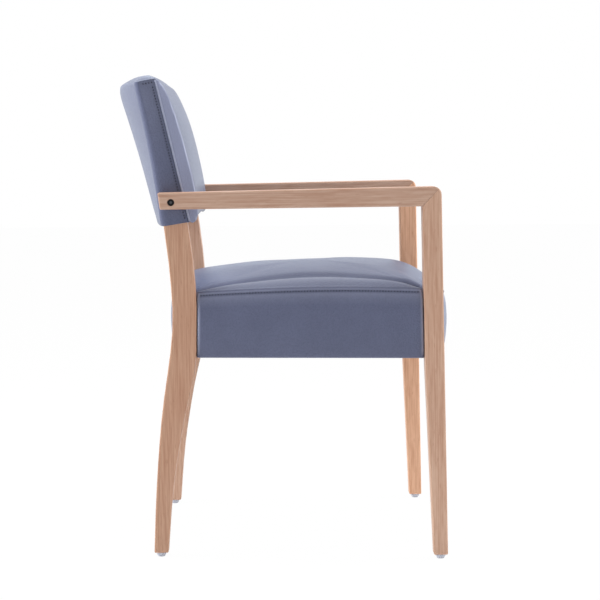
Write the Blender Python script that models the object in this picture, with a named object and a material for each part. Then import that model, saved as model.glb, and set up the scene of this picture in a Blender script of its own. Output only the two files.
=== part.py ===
"""Upholstered dining armchair with a clear-finished beech frame.

Metres, +Z up. The chair faces -Y and the sitter's left is +X. Depths are written
from the front edge of the front feet, running to the rear, and the whole chair is
then centred on the origin by its parent empty.
"""
import math

import bmesh
import bpy
from mathutils import Vector

# Clearances
GAP = 0.0003                # air left between two pieces that touch
CUT_PAST = 0.020            # how far an open cut runs past the piece it opens

# Frame timber
WIDTH = 0.560               # over the outer faces of the arms
LEG_THICK = 0.033           # across the chair, arms and legs alike
FOOT_THICK = 0.025          # across the chair at the foot
EDGE_ROUND = 0.0022         # eased edges of the timber
TAPER_TOP = 0.335           # height where the legs start to thin towards the foot
FRONT_LEG_WIDE = 0.0334     # front to rear, above the taper
FRONT_FOOT_WIDE = 0.0244
FRONT_LEAN = 0.0124         # how far the front leg's top stands behind its foot
REAR_FOOT_WIDE = 0.0244
REAR_LEG_WIDE = 0.0420      # from the seat to the back
REAR_TOP_WIDE = 0.0260      # at the hidden top end, inside the back
WHEELBASE = 0.4880          # front edge of the front foot to front edge of the rear foot
SABRE_SWEEP = 0.0540        # how far the rear leg comes forward from foot to seat
SABRE_HEIGHT = 0.400        # height of its most forward point
REAR_LEG_SET = 0.0140       # how far it leans back again from there to the back's foot
REAR_LEG_DROP = 0.037       # hidden top end below the back's upper seam

# Arms
ARM_HEIGHT = 0.647          # top of the arm at the front corner
ARM_FALL = 0.0085           # drop of the top edge from front to rear
ARM_DEEP_FRONT = 0.0340
ARM_DEEP_REAR = 0.0285
ARM_CORNER = 0.014          # radius of the front top corner
ARM_TAIL = 0.0035           # rear end of the arm past the back's side
ARM_TAIL_SLANT = 0.0038
CORNER_STEPS = 6            # facets of the rounded corner, an even count

# Feet and fixings
GLIDE_HIGH = 0.0075
GLIDE_TOP = 0.0185          # diameter against the leg
GLIDE_BASE = 0.0125         # diameter on the floor
GLIDE_FLOOR = 0.0025        # solid plastic under the pin
PIN_WIDE = 0.004
PIN_LONG = 0.024
DOWEL_WIDE = 0.008
DOWEL_LONG = 0.040
DOWEL_EASE = 0.001
MITRE_DOWEL_WIDE = 0.008
MITRE_DOWEL_LONG = 0.028
BOARD_DOWEL_WIDE = 0.006
BOARD_DOWEL_LONG = 0.030
BOLT_WIDE = 0.006
BOLT_LONG = 0.056           # under the head
BOLT_HEAD_WIDE = 0.0118
BOLT_HEAD_HIGH = 0.005
BOLT_SINK = 0.0008          # head below the arm's face
BOLT_SOCKET = 0.0058        # across the corners of the hexagon
BOLT_SOCKET_DEEP = 0.003
BOLT_RISE = 0.0120          # bolt above the arm's lower edge
INSERT_WIDE = 0.0095
INSERT_LONG = 0.018
SCREW_WIDE = 0.0045
SCREW_HEAD = 0.0085
SCREW_HEAD_HIGH = 0.0028
SCREW_BITE = 0.008          # thread inside the seat board
ROUND_STEPS = 12            # facets round a dowel, bolt or glide

# Seat
COVER = 0.0020              # leatherette with its backing
SEAT_BOTTOM = 0.350
BORDER_HIGH = 0.116         # base to seam beside the legs
SEAM_RISE = 0.011           # the side seam bows up by this much
SEAM_DIP = 0.012            # the front seam runs lower at the middle
CROWN_HIGH = 0.040          # top of the crown above the seam's ends
SEAT_SWELL = 0.005          # the border swells between seam and base
SEAT_INSET = 0.004          # side of the seat inside the front leg's face
SEAT_REAR_INSET = 0.001     # the same at the rear leg
SEAT_OVERHANG = 0.0272      # front of the seat ahead of the front leg
SEAT_FRONT_BOW = 0.034
SEAT_REAR_BULGE = 0.0140    # rear of the seat behind the rear leg
SEAT_REAR_BOW = 0.0225
SEAT_LIP = 0.020            # cover turned in under the rails
CROWN_FRONT = 0.36          # share of the half depth over which the crown rises from the front
CROWN_REAR = 0.30           # and from the rear
CROWN_FALL = 0.36           # share of the crown lost towards the rear
CROWN_VALLEY = 0.20         # share of the half width that the side's flat margin takes
RAIL_THICK = 0.020
SIDE_RAIL_THICK = 0.020
RAIL_HIGH = 0.070
RAIL_SETBACK = 0.0105       # seat's side to the side rail
FRONT_RAIL_BACK = 0.0120    # front face of the front rail behind the leg's front
REAR_RAIL_BACK = 0.0070     # front face of the rear rail behind the leg's front
SEAT_BOARD = 0.010
BLOCK_REACH = 0.055         # legs of the corner block's triangle
BLOCK_HIGH = 0.040
DUST_COVER = 0.0012

# Back
BACK_BOTTOM = 0.588         # lower end of the front seam
BACK_SIDE_TOP = 0.827       # upper end of the front seam
BACK_ARCH = 0.024           # rise of the front top edge to the middle
BACK_REAR_ARCH = 0.016      # and of the rear top edge
BACK_TILT = 10.0            # slope in degrees of the side panel's ends
BACK_LEAN_LOW = 6.0         # recline in degrees at the bottom
BACK_LEAN_HIGH = 13.4       # and at the top
BACK_SAG_LOW = 0.0172       # hollow of the back in plan at the bottom
BACK_SAG_HIGH = 0.0515
BACK_FRONT_SAG = 0.5        # front panel's hollow as a share of the rear's
BACK_SIDE_LOW = 0.050       # depth of the side panel at the bottom
BACK_SIDE_HIGH = 0.035
BACK_DOME = 0.0315          # swell of the front panel
BACK_TOP_ROUND = 0.010      # rounded rear edge of the top band
BACK_BEHIND_LEG = 0.0032    # rear of the back's side behind the rear leg
BACK_BOARD = 0.015
BACK_BOARD_SAG = 0.75       # board's hollow as a share of the cover's
BACK_BOARD_RISE = 0.017     # board above the back's lower seam
BACK_BOARD_DROP = 0.039     # board below the upper seam
BOARD_DOWEL_PLACES = (0.36, 0.82)   # shares of the board's height

HALF = WIDTH / 2
LEG_IN = HALF - LEG_THICK                   # inner face of the front leg and the arm
BACK_HALF = LEG_IN - GAP                    # outer face of the back's side panel
REAR_OUT = BACK_HALF - COVER - 2 * GAP      # outer face of the rear leg
REAR_IN = REAR_OUT - LEG_THICK
FRAME_LOW = SEAT_BOTTOM + COVER + GAP       # underside of the rails
FRAME_TOP = FRAME_LOW + RAIL_HIGH
SEAT_SEAM = SEAT_BOTTOM + BORDER_HIGH       # seam height beside the legs
SEAT_CROWN = SEAT_SEAM + CROWN_HIGH
REAR_LEG_TOP = BACK_SIDE_TOP - REAR_LEG_DROP
BACK_BOARD_BOTTOM = BACK_BOTTOM + BACK_BOARD_RISE
BACK_BOARD_TOP = BACK_SIDE_TOP - BACK_BOARD_DROP
SIDES = (("left", 1), ("right", -1))

PART_NAME = "dining_armchair"
BEECH = ((0.55, 0.36, 0.24), 0.50, 0.0)
PLYWOOD = ((0.50, 0.34, 0.20), 0.65, 0.0)
LEATHERETTE = ((0.20, 0.22, 0.34), 0.45, 0.0)
FOAM = ((0.80, 0.74, 0.52), 0.90, 0.0)
NONWOVEN = ((0.02, 0.02, 0.02), 0.90, 0.0)
GREY_PLASTIC = ((0.30, 0.30, 0.32), 0.45, 0.0)
BLACK_STEEL = ((0.02, 0.02, 0.02), 0.35, 1.0)
BRIGHT_STEEL = ((0.60, 0.60, 0.62), 0.30, 1.0)


def mix(a, b, t):
    return a + (b - a) * t


def smooth(t):
    t = min(max(t, 0.0), 1.0)
    return t * t * (3 - 2 * t)


def through(points, v):
    """Smooth curve through (v, value) points, read at v."""
    last = len(points) - 1

    def slope(i):
        a, b = points[max(i - 1, 0)], points[min(i + 1, last)]
        return (b[1] - a[1]) / (b[0] - a[0])

    i = 0
    while i < last - 1 and v > points[i + 1][0]:
        i += 1
    (v0, p0), (v1, p1) = points[i], points[i + 1]
    span = v1 - v0
    t = (v - v0) / span
    rise = t * t * (3 - 2 * t)
    start = t * (1 - t) ** 2 * span * slope(i)
    end = t * t * (t - 1) * span * slope(i + 1)
    return mix(p0, p1, rise) + start + end


# Scene and mesh helpers

def empty_scene():
    for obj in list(bpy.data.objects):
        bpy.data.objects.remove(obj, do_unlink=True)


def collection(name):
    made = bpy.data.collections.new(name)
    bpy.context.scene.collection.children.link(made)
    return made


def add_object(name, bm, finish=None):
    """Turn a bmesh into a piece of the chair, or into a cutter where there is no finish."""
    bmesh.ops.recalc_face_normals(bm, faces=bm.faces)
    mesh = bpy.data.meshes.new(name)
    bm.to_mesh(mesh)
    bm.free()
    mesh.shade_smooth()
    mesh.set_sharp_from_angle(angle=math.radians(35))
    obj = bpy.data.objects.new(name, mesh)
    obj.parent = ROOT
    if finish is None:
        CUTTERS.objects.link(obj)
        obj.hide_render = True
        obj.display_type = 'WIRE'
        return obj
    PIECES.objects.link(obj)
    colour, roughness, metallic = finish
    material = bpy.data.materials.new(name + "_finish")
    material.use_nodes = True
    shader = material.node_tree.nodes["Principled BSDF"]
    shader.inputs["Base Color"].default_value = (*colour, 1)
    shader.inputs["Roughness"].default_value = roughness
    shader.inputs["Metallic"].default_value = metallic
    mesh.materials.append(material)
    return obj


def cut(cutter, *targets):
    for target in targets:
        boolean = target.modifiers.new(cutter.name, 'BOOLEAN')
        boolean.operation = 'DIFFERENCE'
        boolean.solver = 'EXACT'
        boolean.object = cutter


def loft(bm, rings, capped=True):
    """Skin rings of like point counts; returns the rings as vertices."""
    loops = [[bm.verts.new(point) for point in ring] for ring in rings]
    count = len(loops[0])
    for low, high in zip(loops, loops[1:]):
        for i in range(count):
            j = (i + 1) % count
            bm.faces.new((low[i], low[j], high[j], high[i]))
    if capped:
        bm.faces.new(loops[0])
        bm.faces.new(loops[-1])
    return loops


def form(name, rings, finish=None, sheet=False, split='FIXED'):
    """Curved solid through rings, split alike so that forms one inside another stay apart.

    The rings of a sheet run along its rear and back along its front, and its ends are
    closed in strips between the two.
    """
    bm = bmesh.new()
    loops = loft(bm, rings, capped=not sheet)
    count = len(loops[0])
    for loop in (loops[0], loops[-1]) if sheet else ():
        for i in range(count // 2 - 1):
            bm.faces.new((loop[i], loop[i + 1], loop[count - 2 - i], loop[count - 1 - i]))
    bmesh.ops.triangulate(bm, faces=bm.faces, quad_method=split)
    return add_object(name, bm, finish)


def timber(name, side, edge_a, edge_b, x_out, x_in, finish=BEECH, soft_ends=(False, False)):
    """Board standing in the YZ plane between two edges, with eased long edges.

    x_in gives the inner face for each pair of edge points.
    """
    bm = bmesh.new()
    rings = []
    for a, b, inner in zip(edge_a, edge_b, x_in):
        rings.append([(side * x_out, *a), (side * inner, *a), (side * inner, *b), (side * x_out, *b)])
    loops = loft(bm, rings)
    if finish is not None:
        soft = []
        for low, high in zip(loops, loops[1:]):
            soft += [bm.edges.get((v, w)) for v, w in zip(low, high)]
        for is_soft, loop in zip(soft_ends, (loops[0], loops[-1])):
            if is_soft:
                soft += [bm.edges.get((loop[i], loop[i - 1])) for i in range(4)]
        bmesh.ops.recalc_face_normals(bm, faces=bm.faces)
        bmesh.ops.bevel(bm, geom=soft, offset=EDGE_ROUND, offset_type='OFFSET', segments=2,
                        profile=0.5, affect='EDGES', clamp_overlap=True)
    return add_object(name, bm, finish)


def prism(name, outline, low, high, finish=None):
    """Upright solid over a plan outline."""
    bm = bmesh.new()
    loft(bm, [[(x, y, z) for x, y in outline] for z in (low, high)])
    return add_object(name, bm, finish)


def turned(name, profile, base, axis, finish=None, steps=ROUND_STEPS):
    """Solid of revolution from (radius, height) points, standing at base along axis."""
    axis = Vector(axis).normalized()
    turn = axis.to_track_quat('Z', 'Y')
    bm = bmesh.new()
    points = [bm.verts.new(Vector(base) + turn @ Vector((r, 0, h))) for r, h in profile]
    edges = [bm.edges.new(pair) for pair in zip(points, points[1:])]
    if profile[0][0] > 0:
        edges.append(bm.edges.new((points[-1], points[0])))
    bmesh.ops.spin(bm, geom=points + edges, cent=base, axis=axis, angle=2 * math.pi,
                   steps=steps, use_merge=True)
    bmesh.ops.remove_doubles(bm, verts=bm.verts, dist=1e-6)
    return add_object(name, bm, finish)


def rod(name, middle, axis, wide, long, finish=None, ease=DOWEL_EASE):
    """Round dowel with eased ends, or a plain round cutter."""
    radius = wide / 2
    base = Vector(middle) - Vector(axis).normalized() * long / 2
    profile = [(0, 0), (radius - ease, 0), (radius, ease), (radius, long - ease), (radius - ease, long), (0, long)]
    if ease == 0:
        profile = [(0, 0), (radius, 0), (radius, long), (0, long)]
    return turned(name, profile, base, axis, finish)


def dowel(name, middle, axis, wide, long, *joined):
    """Beech dowel with its socket cut in the pieces it joins."""
    rod(name, middle, axis, wide, long, BEECH)
    socket = rod(name + "_socket", middle, axis, wide + 2 * GAP, long + 2 * GAP, ease=0)
    cut(socket, *joined)


# Side outlines of the legs and arms, as depth and height

def front_leg_front(z):
    return FRONT_LEAN * z / ARM_HEIGHT


def front_leg_rear(z):
    wide = mix(FRONT_FOOT_WIDE, FRONT_LEG_WIDE, min(z / TAPER_TOP, 1.0))
    return front_leg_front(z) + wide


def leg_thick(z):
    return mix(FOOT_THICK, LEG_THICK, min(z / TAPER_TOP, 1.0))


REAR_MOST_FORWARD = WHEELBASE - SABRE_SWEEP
REAR_KNEE = SABRE_HEIGHT + (BACK_BOTTOM - SABRE_HEIGHT) / 2
LEAN_LOW = math.tan(math.radians(BACK_LEAN_LOW))
LEAN_HIGH = math.tan(math.radians(BACK_LEAN_HIGH))


def rear_leg_rear(z):
    """Sabre curve below the seat, reclined with the back above it."""
    at_back = REAR_MOST_FORWARD + REAR_LEG_WIDE + REAR_LEG_SET
    if z >= BACK_BOTTOM:
        return at_back + back_recline((z - BACK_BOTTOM) / (BACK_SIDE_TOP - BACK_BOTTOM))
    foot = WHEELBASE + REAR_FOOT_WIDE
    forward = REAR_MOST_FORWARD + REAR_LEG_WIDE
    return through([(0, foot), (SABRE_HEIGHT * 0.30, foot - SABRE_SWEEP * 0.10),
                    (SABRE_HEIGHT * 0.62, foot - SABRE_SWEEP * 0.30),
                    (SABRE_HEIGHT, forward),
                    (REAR_KNEE, forward + REAR_LEG_SET * 0.22),
                    (BACK_BOTTOM, at_back)], z)


def rear_leg_front(z):
    if z >= BACK_BOTTOM:
        share = (z - BACK_BOTTOM) / (REAR_LEG_TOP - BACK_BOTTOM)
        return rear_leg_rear(z) - mix(REAR_LEG_WIDE, REAR_TOP_WIDE, min(share, 1.0))
    if z >= SABRE_HEIGHT:
        return rear_leg_rear(z) - REAR_LEG_WIDE
    forward = rear_leg_rear(SABRE_HEIGHT) - REAR_LEG_WIDE
    return through([(0, WHEELBASE), (SABRE_HEIGHT * 0.30, WHEELBASE - SABRE_SWEEP * 0.19),
                    (SABRE_HEIGHT * 0.62, WHEELBASE - SABRE_SWEEP * 0.58),
                    (SABRE_HEIGHT * 0.83, forward + SABRE_SWEEP * 0.06),
                    (SABRE_HEIGHT, forward)], z)


def back_recline(share):
    """Depth gained up the back's side panel."""
    rise = share * (BACK_SIDE_TOP - BACK_BOTTOM)
    return LEAN_LOW * rise + (LEAN_HIGH - LEAN_LOW) * share * rise / 2


def back_rear_side(share):
    return rear_leg_rear(BACK_BOTTOM) + BACK_BEHIND_LEG + back_recline(share)


ARM_END = rear_leg_rear(ARM_HEIGHT) + BACK_BEHIND_LEG - ARM_TAIL


def arm_top(y):
    return ARM_HEIGHT - ARM_FALL * y / ARM_END


def arm_low(y):
    return arm_top(y) - mix(ARM_DEEP_FRONT, ARM_DEEP_REAR, y / ARM_END)


def arm_corner():
    """Points of the rounded front top corner, from the leg's front to the arm's top."""
    corner = Vector((front_leg_front(ARM_HEIGHT), arm_top(front_leg_front(ARM_HEIGHT))))
    down = Vector((front_leg_front(0) - corner.x, -corner.y)).normalized()
    back = Vector((ARM_END - corner.x, arm_top(ARM_END) - corner.y)).normalized()
    half_angle = down.angle(back) / 2
    centre = corner + (down + back).normalized() * ARM_CORNER / math.sin(half_angle)
    spoke = corner + down * ARM_CORNER / math.tan(half_angle) - centre
    sweep = math.pi - 2 * half_angle
    points = []
    for i in range(CORNER_STEPS + 1):
        angle = -sweep * i / CORNER_STEPS
        c, s = math.cos(angle), math.sin(angle)
        points.append((centre.x + spoke.x * c - spoke.y * s, centre.y + spoke.x * s + spoke.y * c))
    return points


def build_frame():
    """Legs and arms, mitred at the front corner."""
    arc = arm_corner()
    middle = CORNER_STEPS // 2
    inner_z = arm_low(front_leg_rear(ARM_HEIGHT))
    inner = Vector((front_leg_rear(inner_z), inner_z))
    mitre = (Vector(arc[middle]) - inner).normalized()
    open_mitre = Vector((mitre.y, -mitre.x)) * GAP

    heights = [GLIDE_HIGH, TAPER_TOP]
    front = [(front_leg_front(z), z) for z in heights] + arc[:middle + 1]
    rear = [(front_leg_rear(z), z) for z in heights]
    top = [p for p in arc[middle:]]
    low = []
    for i in range(middle + 1):
        z = inner.y - ARM_CORNER * (1 - i / middle)
        rear.append((front_leg_rear(z), z))
        y = inner.x + ARM_CORNER * i / middle
        low.append((y, arm_low(y)))
    top[0] = tuple(Vector(top[0]) + open_mitre)
    low[0] = tuple(Vector(low[0]) + open_mitre)
    top.append((ARM_END, arm_top(ARM_END)))
    low.append((ARM_END - ARM_TAIL_SLANT, arm_low(ARM_END)))

    steps = 20
    sabre = [mix(GLIDE_HIGH, REAR_LEG_TOP, i / steps) for i in range(steps + 1)]
    made = {}
    for word, side in SIDES:
        leg = timber("front_leg_" + word, side, front, rear, HALF,
                     [HALF - leg_thick(z) for _, z in rear], soft_ends=(True, False))
        arm = timber("arm_" + word, side, top, low, HALF, [LEG_IN] * len(top), soft_ends=(False, True))
        rear_leg = timber("rear_leg_" + word, side, [(rear_leg_front(z), z) for z in sabre],
                          [(rear_leg_rear(z), z) for z in sabre], REAR_OUT,
                          [REAR_OUT - leg_thick(z) for z in sabre], soft_ends=(True, True))
        made[word] = (leg, arm, rear_leg)

        seat = (Vector(arc[middle]) + inner) / 2
        dowel("mitre_dowel_" + word, (side * (HALF - LEG_THICK / 2), seat.x, seat.y),
              (0, mitre.y, -mitre.x), MITRE_DOWEL_WIDE, MITRE_DOWEL_LONG, leg, arm)
        for place, foot_y, foot_x, target in (
                ("front", FRONT_FOOT_WIDE / 2, HALF - FOOT_THICK / 2, leg),
                ("rear", WHEELBASE + REAR_FOOT_WIDE / 2, REAR_OUT - FOOT_THICK / 2, rear_leg)):
            build_glide(place + "_" + word, (side * foot_x, foot_y, 0), target)
    return made


def build_glide(where, foot, leg):
    bore = PIN_WIDE / 2 + GAP
    high = GLIDE_HIGH - GAP
    turned("glide_" + where,
           [(0, 0), (GLIDE_BASE / 2, 0), (GLIDE_TOP / 2, high * 0.75), (GLIDE_TOP / 2, high),
            (bore, high), (bore, GLIDE_FLOOR), (0, GLIDE_FLOOR)], foot, (0, 0, 1), GREY_PLASTIC)
    middle = Vector(foot) + Vector((0, 0, GLIDE_FLOOR + GAP + PIN_LONG / 2))
    rod("glide_pin_" + where, middle, (0, 0, 1), PIN_WIDE, PIN_LONG, BRIGHT_STEEL, ease=DOWEL_EASE / 2)
    cut(rod("glide_pin_hole_" + where, middle, (0, 0, 1), 2 * bore, PIN_LONG + 2 * GAP, ease=0), leg)


# Seat

SEAT_MID = (SEAT_BOTTOM + SEAT_SEAM) / 2
SEAT_FRONT = front_leg_front(SEAT_MID) - SEAT_OVERHANG
SEAT_REAR = rear_leg_rear(SEAT_MID) + SEAT_REAR_BULGE
SEAT_FRONT_CORNER = SEAT_FRONT + SEAT_FRONT_BOW
SEAT_REAR_CORNER = SEAT_REAR - SEAT_REAR_BOW
SEAT_HALF_FRONT = HALF - SEAT_INSET
SEAT_HALF_REAR = REAR_OUT - SEAT_REAR_INSET
FRONT_STEPS = 10
REAR_STEPS = 8
SIDE_STEPS = 8


def seat_side(y):
    """Half width of the seat at a depth."""
    share = (y - SEAT_FRONT_CORNER) / (SEAT_REAR_CORNER - SEAT_FRONT_CORNER)
    return mix(SEAT_HALF_FRONT, SEAT_HALF_REAR, share)


def seat_outline(inset):
    """Plan of the seat with the seam's height at each point: front, left, rear, right."""
    front, rear = SEAT_HALF_FRONT - inset, SEAT_HALF_REAR - inset
    y_front, y_rear = SEAT_FRONT + inset, SEAT_REAR - inset
    corner_front, corner_rear = y_front + SEAT_FRONT_BOW, y_rear - SEAT_REAR_BOW
    points = []
    for i in range(FRONT_STEPS):
        u = mix(-1, 1, i / FRONT_STEPS)
        points.append((front * u, y_front + SEAT_FRONT_BOW * u * u, SEAT_SEAM - SEAM_DIP * (1 - u * u)))
    for i in range(SIDE_STEPS):
        t = i / SIDE_STEPS
        seam = SEAT_SEAM + SEAM_RISE * math.sin(math.pi * t)
        points.append((mix(front, rear, t), mix(corner_front, corner_rear, t), seam))
    for i in range(REAR_STEPS):
        u = mix(1, -1, i / REAR_STEPS)
        points.append((rear * u, y_rear - SEAT_REAR_BOW * u * u, SEAT_SEAM))
    for i in range(SIDE_STEPS):
        t = 1 - i / SIDE_STEPS
        seam = SEAT_SEAM + SEAM_RISE * math.sin(math.pi * t)
        points.append((-mix(front, rear, t), mix(corner_front, corner_rear, t), seam))
    return points


def crown_share(x, y):
    """How much of the crown's rise stands at a point of the seat's top."""
    middle = (SEAT_FRONT + SEAT_REAR) / 2
    along = (y - middle) / (SEAT_REAR - middle)
    across = abs(x) / seat_side(y)
    rise = smooth((1 + along) / CROWN_FRONT) * smooth((1 - along) / CROWN_REAR)
    rise *= 1 - CROWN_FALL * max(along, 0)
    return rise * (1 - across ** 2) * smooth((1 - across) / CROWN_VALLEY)


def seat_rings(inset):
    """Rings of the seat form from the crown down to the base, all drawn in by inset."""
    middle = (SEAT_FRONT + SEAT_REAR) / 2
    rings = []
    for share in (0.93, 0.75, 0.55, 0.38, 0.26, 0.16, 0.07):
        ring = []
        for (x, y, z), (x_in, y_in, _) in zip(seat_outline(SEAT_SWELL), seat_outline(SEAT_SWELL + inset)):
            high = mix(z, SEAT_CROWN, crown_share(x * (1 - share), mix(y, middle, share)))
            ring.append((x_in * (1 - share), mix(y_in, middle, share), high - inset))
        rings.append(ring)
    for share in (1.0, 0.75, 0.4, 0.0):
        swell = SEAT_SWELL * (1 - math.sin(math.pi * share))
        low = SEAT_BOTTOM + inset
        rings.append([(x, y, mix(low, z - inset, share)) for x, y, z in seat_outline(inset + swell)])
    return rings


def build_seat(legs):
    lip = seat_outline(SEAT_SWELL + SEAT_LIP)
    under = [[(x, y, z) for x, y, _ in lip] for z in (SEAT_BOTTOM, SEAT_BOTTOM + COVER)]
    cover = form("seat_cover", seat_rings(0) + under + seat_rings(COVER)[::-1], LEATHERETTE, split='SHORT_EDGE')
    foam = form("seat_foam", seat_rings(COVER + GAP), FOAM, split='SHORT_EDGE')

    front_face = front_leg_front(SEAT_MID) + FRONT_RAIL_BACK
    rear_face = rear_leg_front(SEAT_MID) + REAR_RAIL_BACK + RAIL_THICK
    front_x = seat_side(front_face) - RAIL_SETBACK
    rear_x = seat_side(rear_face) - RAIL_SETBACK

    def frame_outline(grow):
        return [(-front_x - grow, front_face - grow), (front_x + grow, front_face - grow),
                (rear_x + grow, rear_face + grow), (-rear_x - grow, rear_face + grow)]

    board_low = FRAME_TOP + GAP
    board = prism("seat_board", frame_outline(0), board_low, board_low + SEAT_BOARD, PLYWOOD)
    cut(prism("seat_frame_space", frame_outline(GAP), SEAT_BOTTOM - CUT_PAST, board_low + SEAT_BOARD + GAP), foam)
    dust = [(x, y) for x, y, _ in seat_outline(SEAT_SWELL + SEAT_LIP + GAP)]
    dust_cover = prism("dust_cover", dust, FRAME_LOW - GAP - DUST_COVER, FRAME_LOW - GAP, NONWOVEN)

    low, high = SEAT_BOTTOM - CUT_PAST, SEAT_CROWN + CUT_PAST
    heights = [mix(low, high, i / 12) for i in range(13)]
    for word, side in SIDES:
        front_space = timber("front_leg_space_" + word, side, [(front_leg_front(z) - CUT_PAST, z) for z in heights],
                             [(front_leg_rear(z) + GAP, z) for z in heights], HALF + CUT_PAST,
                             [LEG_IN - GAP] * 13, None)
        rear_space = timber("rear_leg_space_" + word, side, [(rear_leg_front(z) - GAP, z) for z in heights],
                            [(rear_leg_rear(z) + CUT_PAST, z) for z in heights], REAR_OUT + CUT_PAST,
                            [REAR_IN - GAP] * 13, None)
        for space in (front_space, rear_space):
            cut(space, cover, foam, board, dust_cover)

    rail_z = (FRAME_LOW + FRAME_TOP) / 2
    front_rail = prism("seat_rail_front",
                       [(-LEG_IN + GAP, front_face), (LEG_IN - GAP, front_face),
                        (LEG_IN - GAP, front_face + RAIL_THICK), (-LEG_IN + GAP, front_face + RAIL_THICK)],
                       FRAME_LOW, FRAME_TOP, BEECH)
    rear_rail = prism("seat_rail_rear",
                      [(-REAR_IN + GAP, rear_face - RAIL_THICK), (REAR_IN - GAP, rear_face - RAIL_THICK),
                       (REAR_IN - GAP, rear_face), (-REAR_IN + GAP, rear_face)], FRAME_LOW, FRAME_TOP, BEECH)
    build_side_rails(legs, front_rail, rear_rail, rail_z, front_face, rear_face, board)


def build_side_rails(legs, front_rail, rear_rail, rail_z, front_face, rear_face, board):
    """Side rails, corner blocks and the dowels and screws that hold them."""
    for word, side in SIDES:
        front_leg, _, rear_leg = legs[word]
        ends = []
        bm = bmesh.new()
        rings = []
        for z in (FRAME_LOW, FRAME_TOP):
            y_front = front_leg_rear(z) + GAP
            y_rear = min(rear_leg_front(FRAME_LOW), rear_leg_front(FRAME_TOP)) - GAP
            ends = (y_front, y_rear)
            ring = []
            for y, step in ((y_front, 0), (y_rear, 0), (y_rear, SIDE_RAIL_THICK), (y_front, SIDE_RAIL_THICK)):
                ring.append((side * (seat_side(y) - RAIL_SETBACK - step), y, z))
            rings.append(ring)
        loft(bm, rings)
        rail = add_object("seat_rail_" + word, bm, BEECH)

        def rail_middle(y):
            return side * (seat_side(y) - RAIL_SETBACK - SIDE_RAIL_THICK / 2)

        along = (0, 1, 0)
        dowel("rail_dowel_side_front_" + word, (rail_middle(ends[0]), front_leg_rear(rail_z), rail_z), along,
              DOWEL_WIDE, DOWEL_LONG, front_leg, rail)
        dowel("rail_dowel_side_rear_" + word, (rail_middle(ends[1]), rear_leg_front(rail_z), rail_z), along,
              DOWEL_WIDE, DOWEL_LONG, rear_leg, rail)
        across = (1, 0, 0)
        lower = rail_z - DOWEL_WIDE * 1.5
        dowel("rail_dowel_front_" + word, (side * LEG_IN, front_face + RAIL_THICK / 2, lower), across,
              DOWEL_WIDE, DOWEL_LONG, front_leg, front_rail)
        dowel("rail_dowel_rear_" + word, (side * REAR_IN, rear_face - RAIL_THICK / 2, lower), across,
              DOWEL_WIDE, DOWEL_LONG, rear_leg, rear_rail)

        for place, y_rail, turn, limit in (
                ("front", front_face + RAIL_THICK + GAP, 1, LEG_IN - 2 * GAP),
                ("rear", rear_face - RAIL_THICK - GAP, -1, REAR_IN - 2 * GAP)):
            def inside(y):
                return min(seat_side(y) - RAIL_SETBACK - SIDE_RAIL_THICK - 2 * GAP, limit)
            far = y_rail + turn * BLOCK_REACH
            tip = BLOCK_REACH * 0.2
            corner_x = inside(y_rail)
            outline = [(corner_x, y_rail), (inside(far), far), (inside(far) - tip, far),
                       (corner_x - BLOCK_REACH, y_rail + turn * tip), (corner_x - BLOCK_REACH, y_rail)]
            top = FRAME_TOP
            block = prism("corner_block_%s_%s" % (place, word), [(side * x, y) for x, y in outline],
                          top - BLOCK_HIGH, top, BEECH)
            hole = (side * (corner_x - BLOCK_REACH * 0.35), y_rail + turn * BLOCK_REACH * 0.30)
            build_screw("seat_screw_%s_%s" % (place, word), (*hole, top - BLOCK_HIGH), block, board)


def build_screw(name, base, block, board):
    """Countersunk screw from under the corner block up into the seat board."""
    long = BLOCK_HIGH + GAP + SCREW_BITE

    def profile(room):
        head, shank = SCREW_HEAD / 2 + room, SCREW_WIDE / 2 + room
        low = -CUT_PAST if room else GAP
        return [(0, low), (head, low), (head, GAP * 2), (shank, SCREW_HEAD_HIGH), (shank, long + room),
                (0, long + room)]

    turned(name, profile(0), base, (0, 0, 1), BRIGHT_STEEL)
    cut(turned(name + "_hole", profile(GAP), base, (0, 0, 1)), block, board)


# Back

BACK_COLUMNS = (-1, -0.96, -0.89, -0.77, -0.52, -0.26, 0, 0.26, 0.52, 0.77, 0.89, 0.96, 1)
BACK_ROWS = (0, 0.012, 0.05, 0.16, 0.32, 0.50, 0.68, 0.83, 0.94, 0.985, 1)
ROLL_LOW = 0.05             # share of the height over which the front panel rolls in at the bottom
ROLL_HIGH = 0.06            # and at the top


def back_sag(share):
    return mix(BACK_SAG_LOW, BACK_SAG_HIGH, share)


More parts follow.
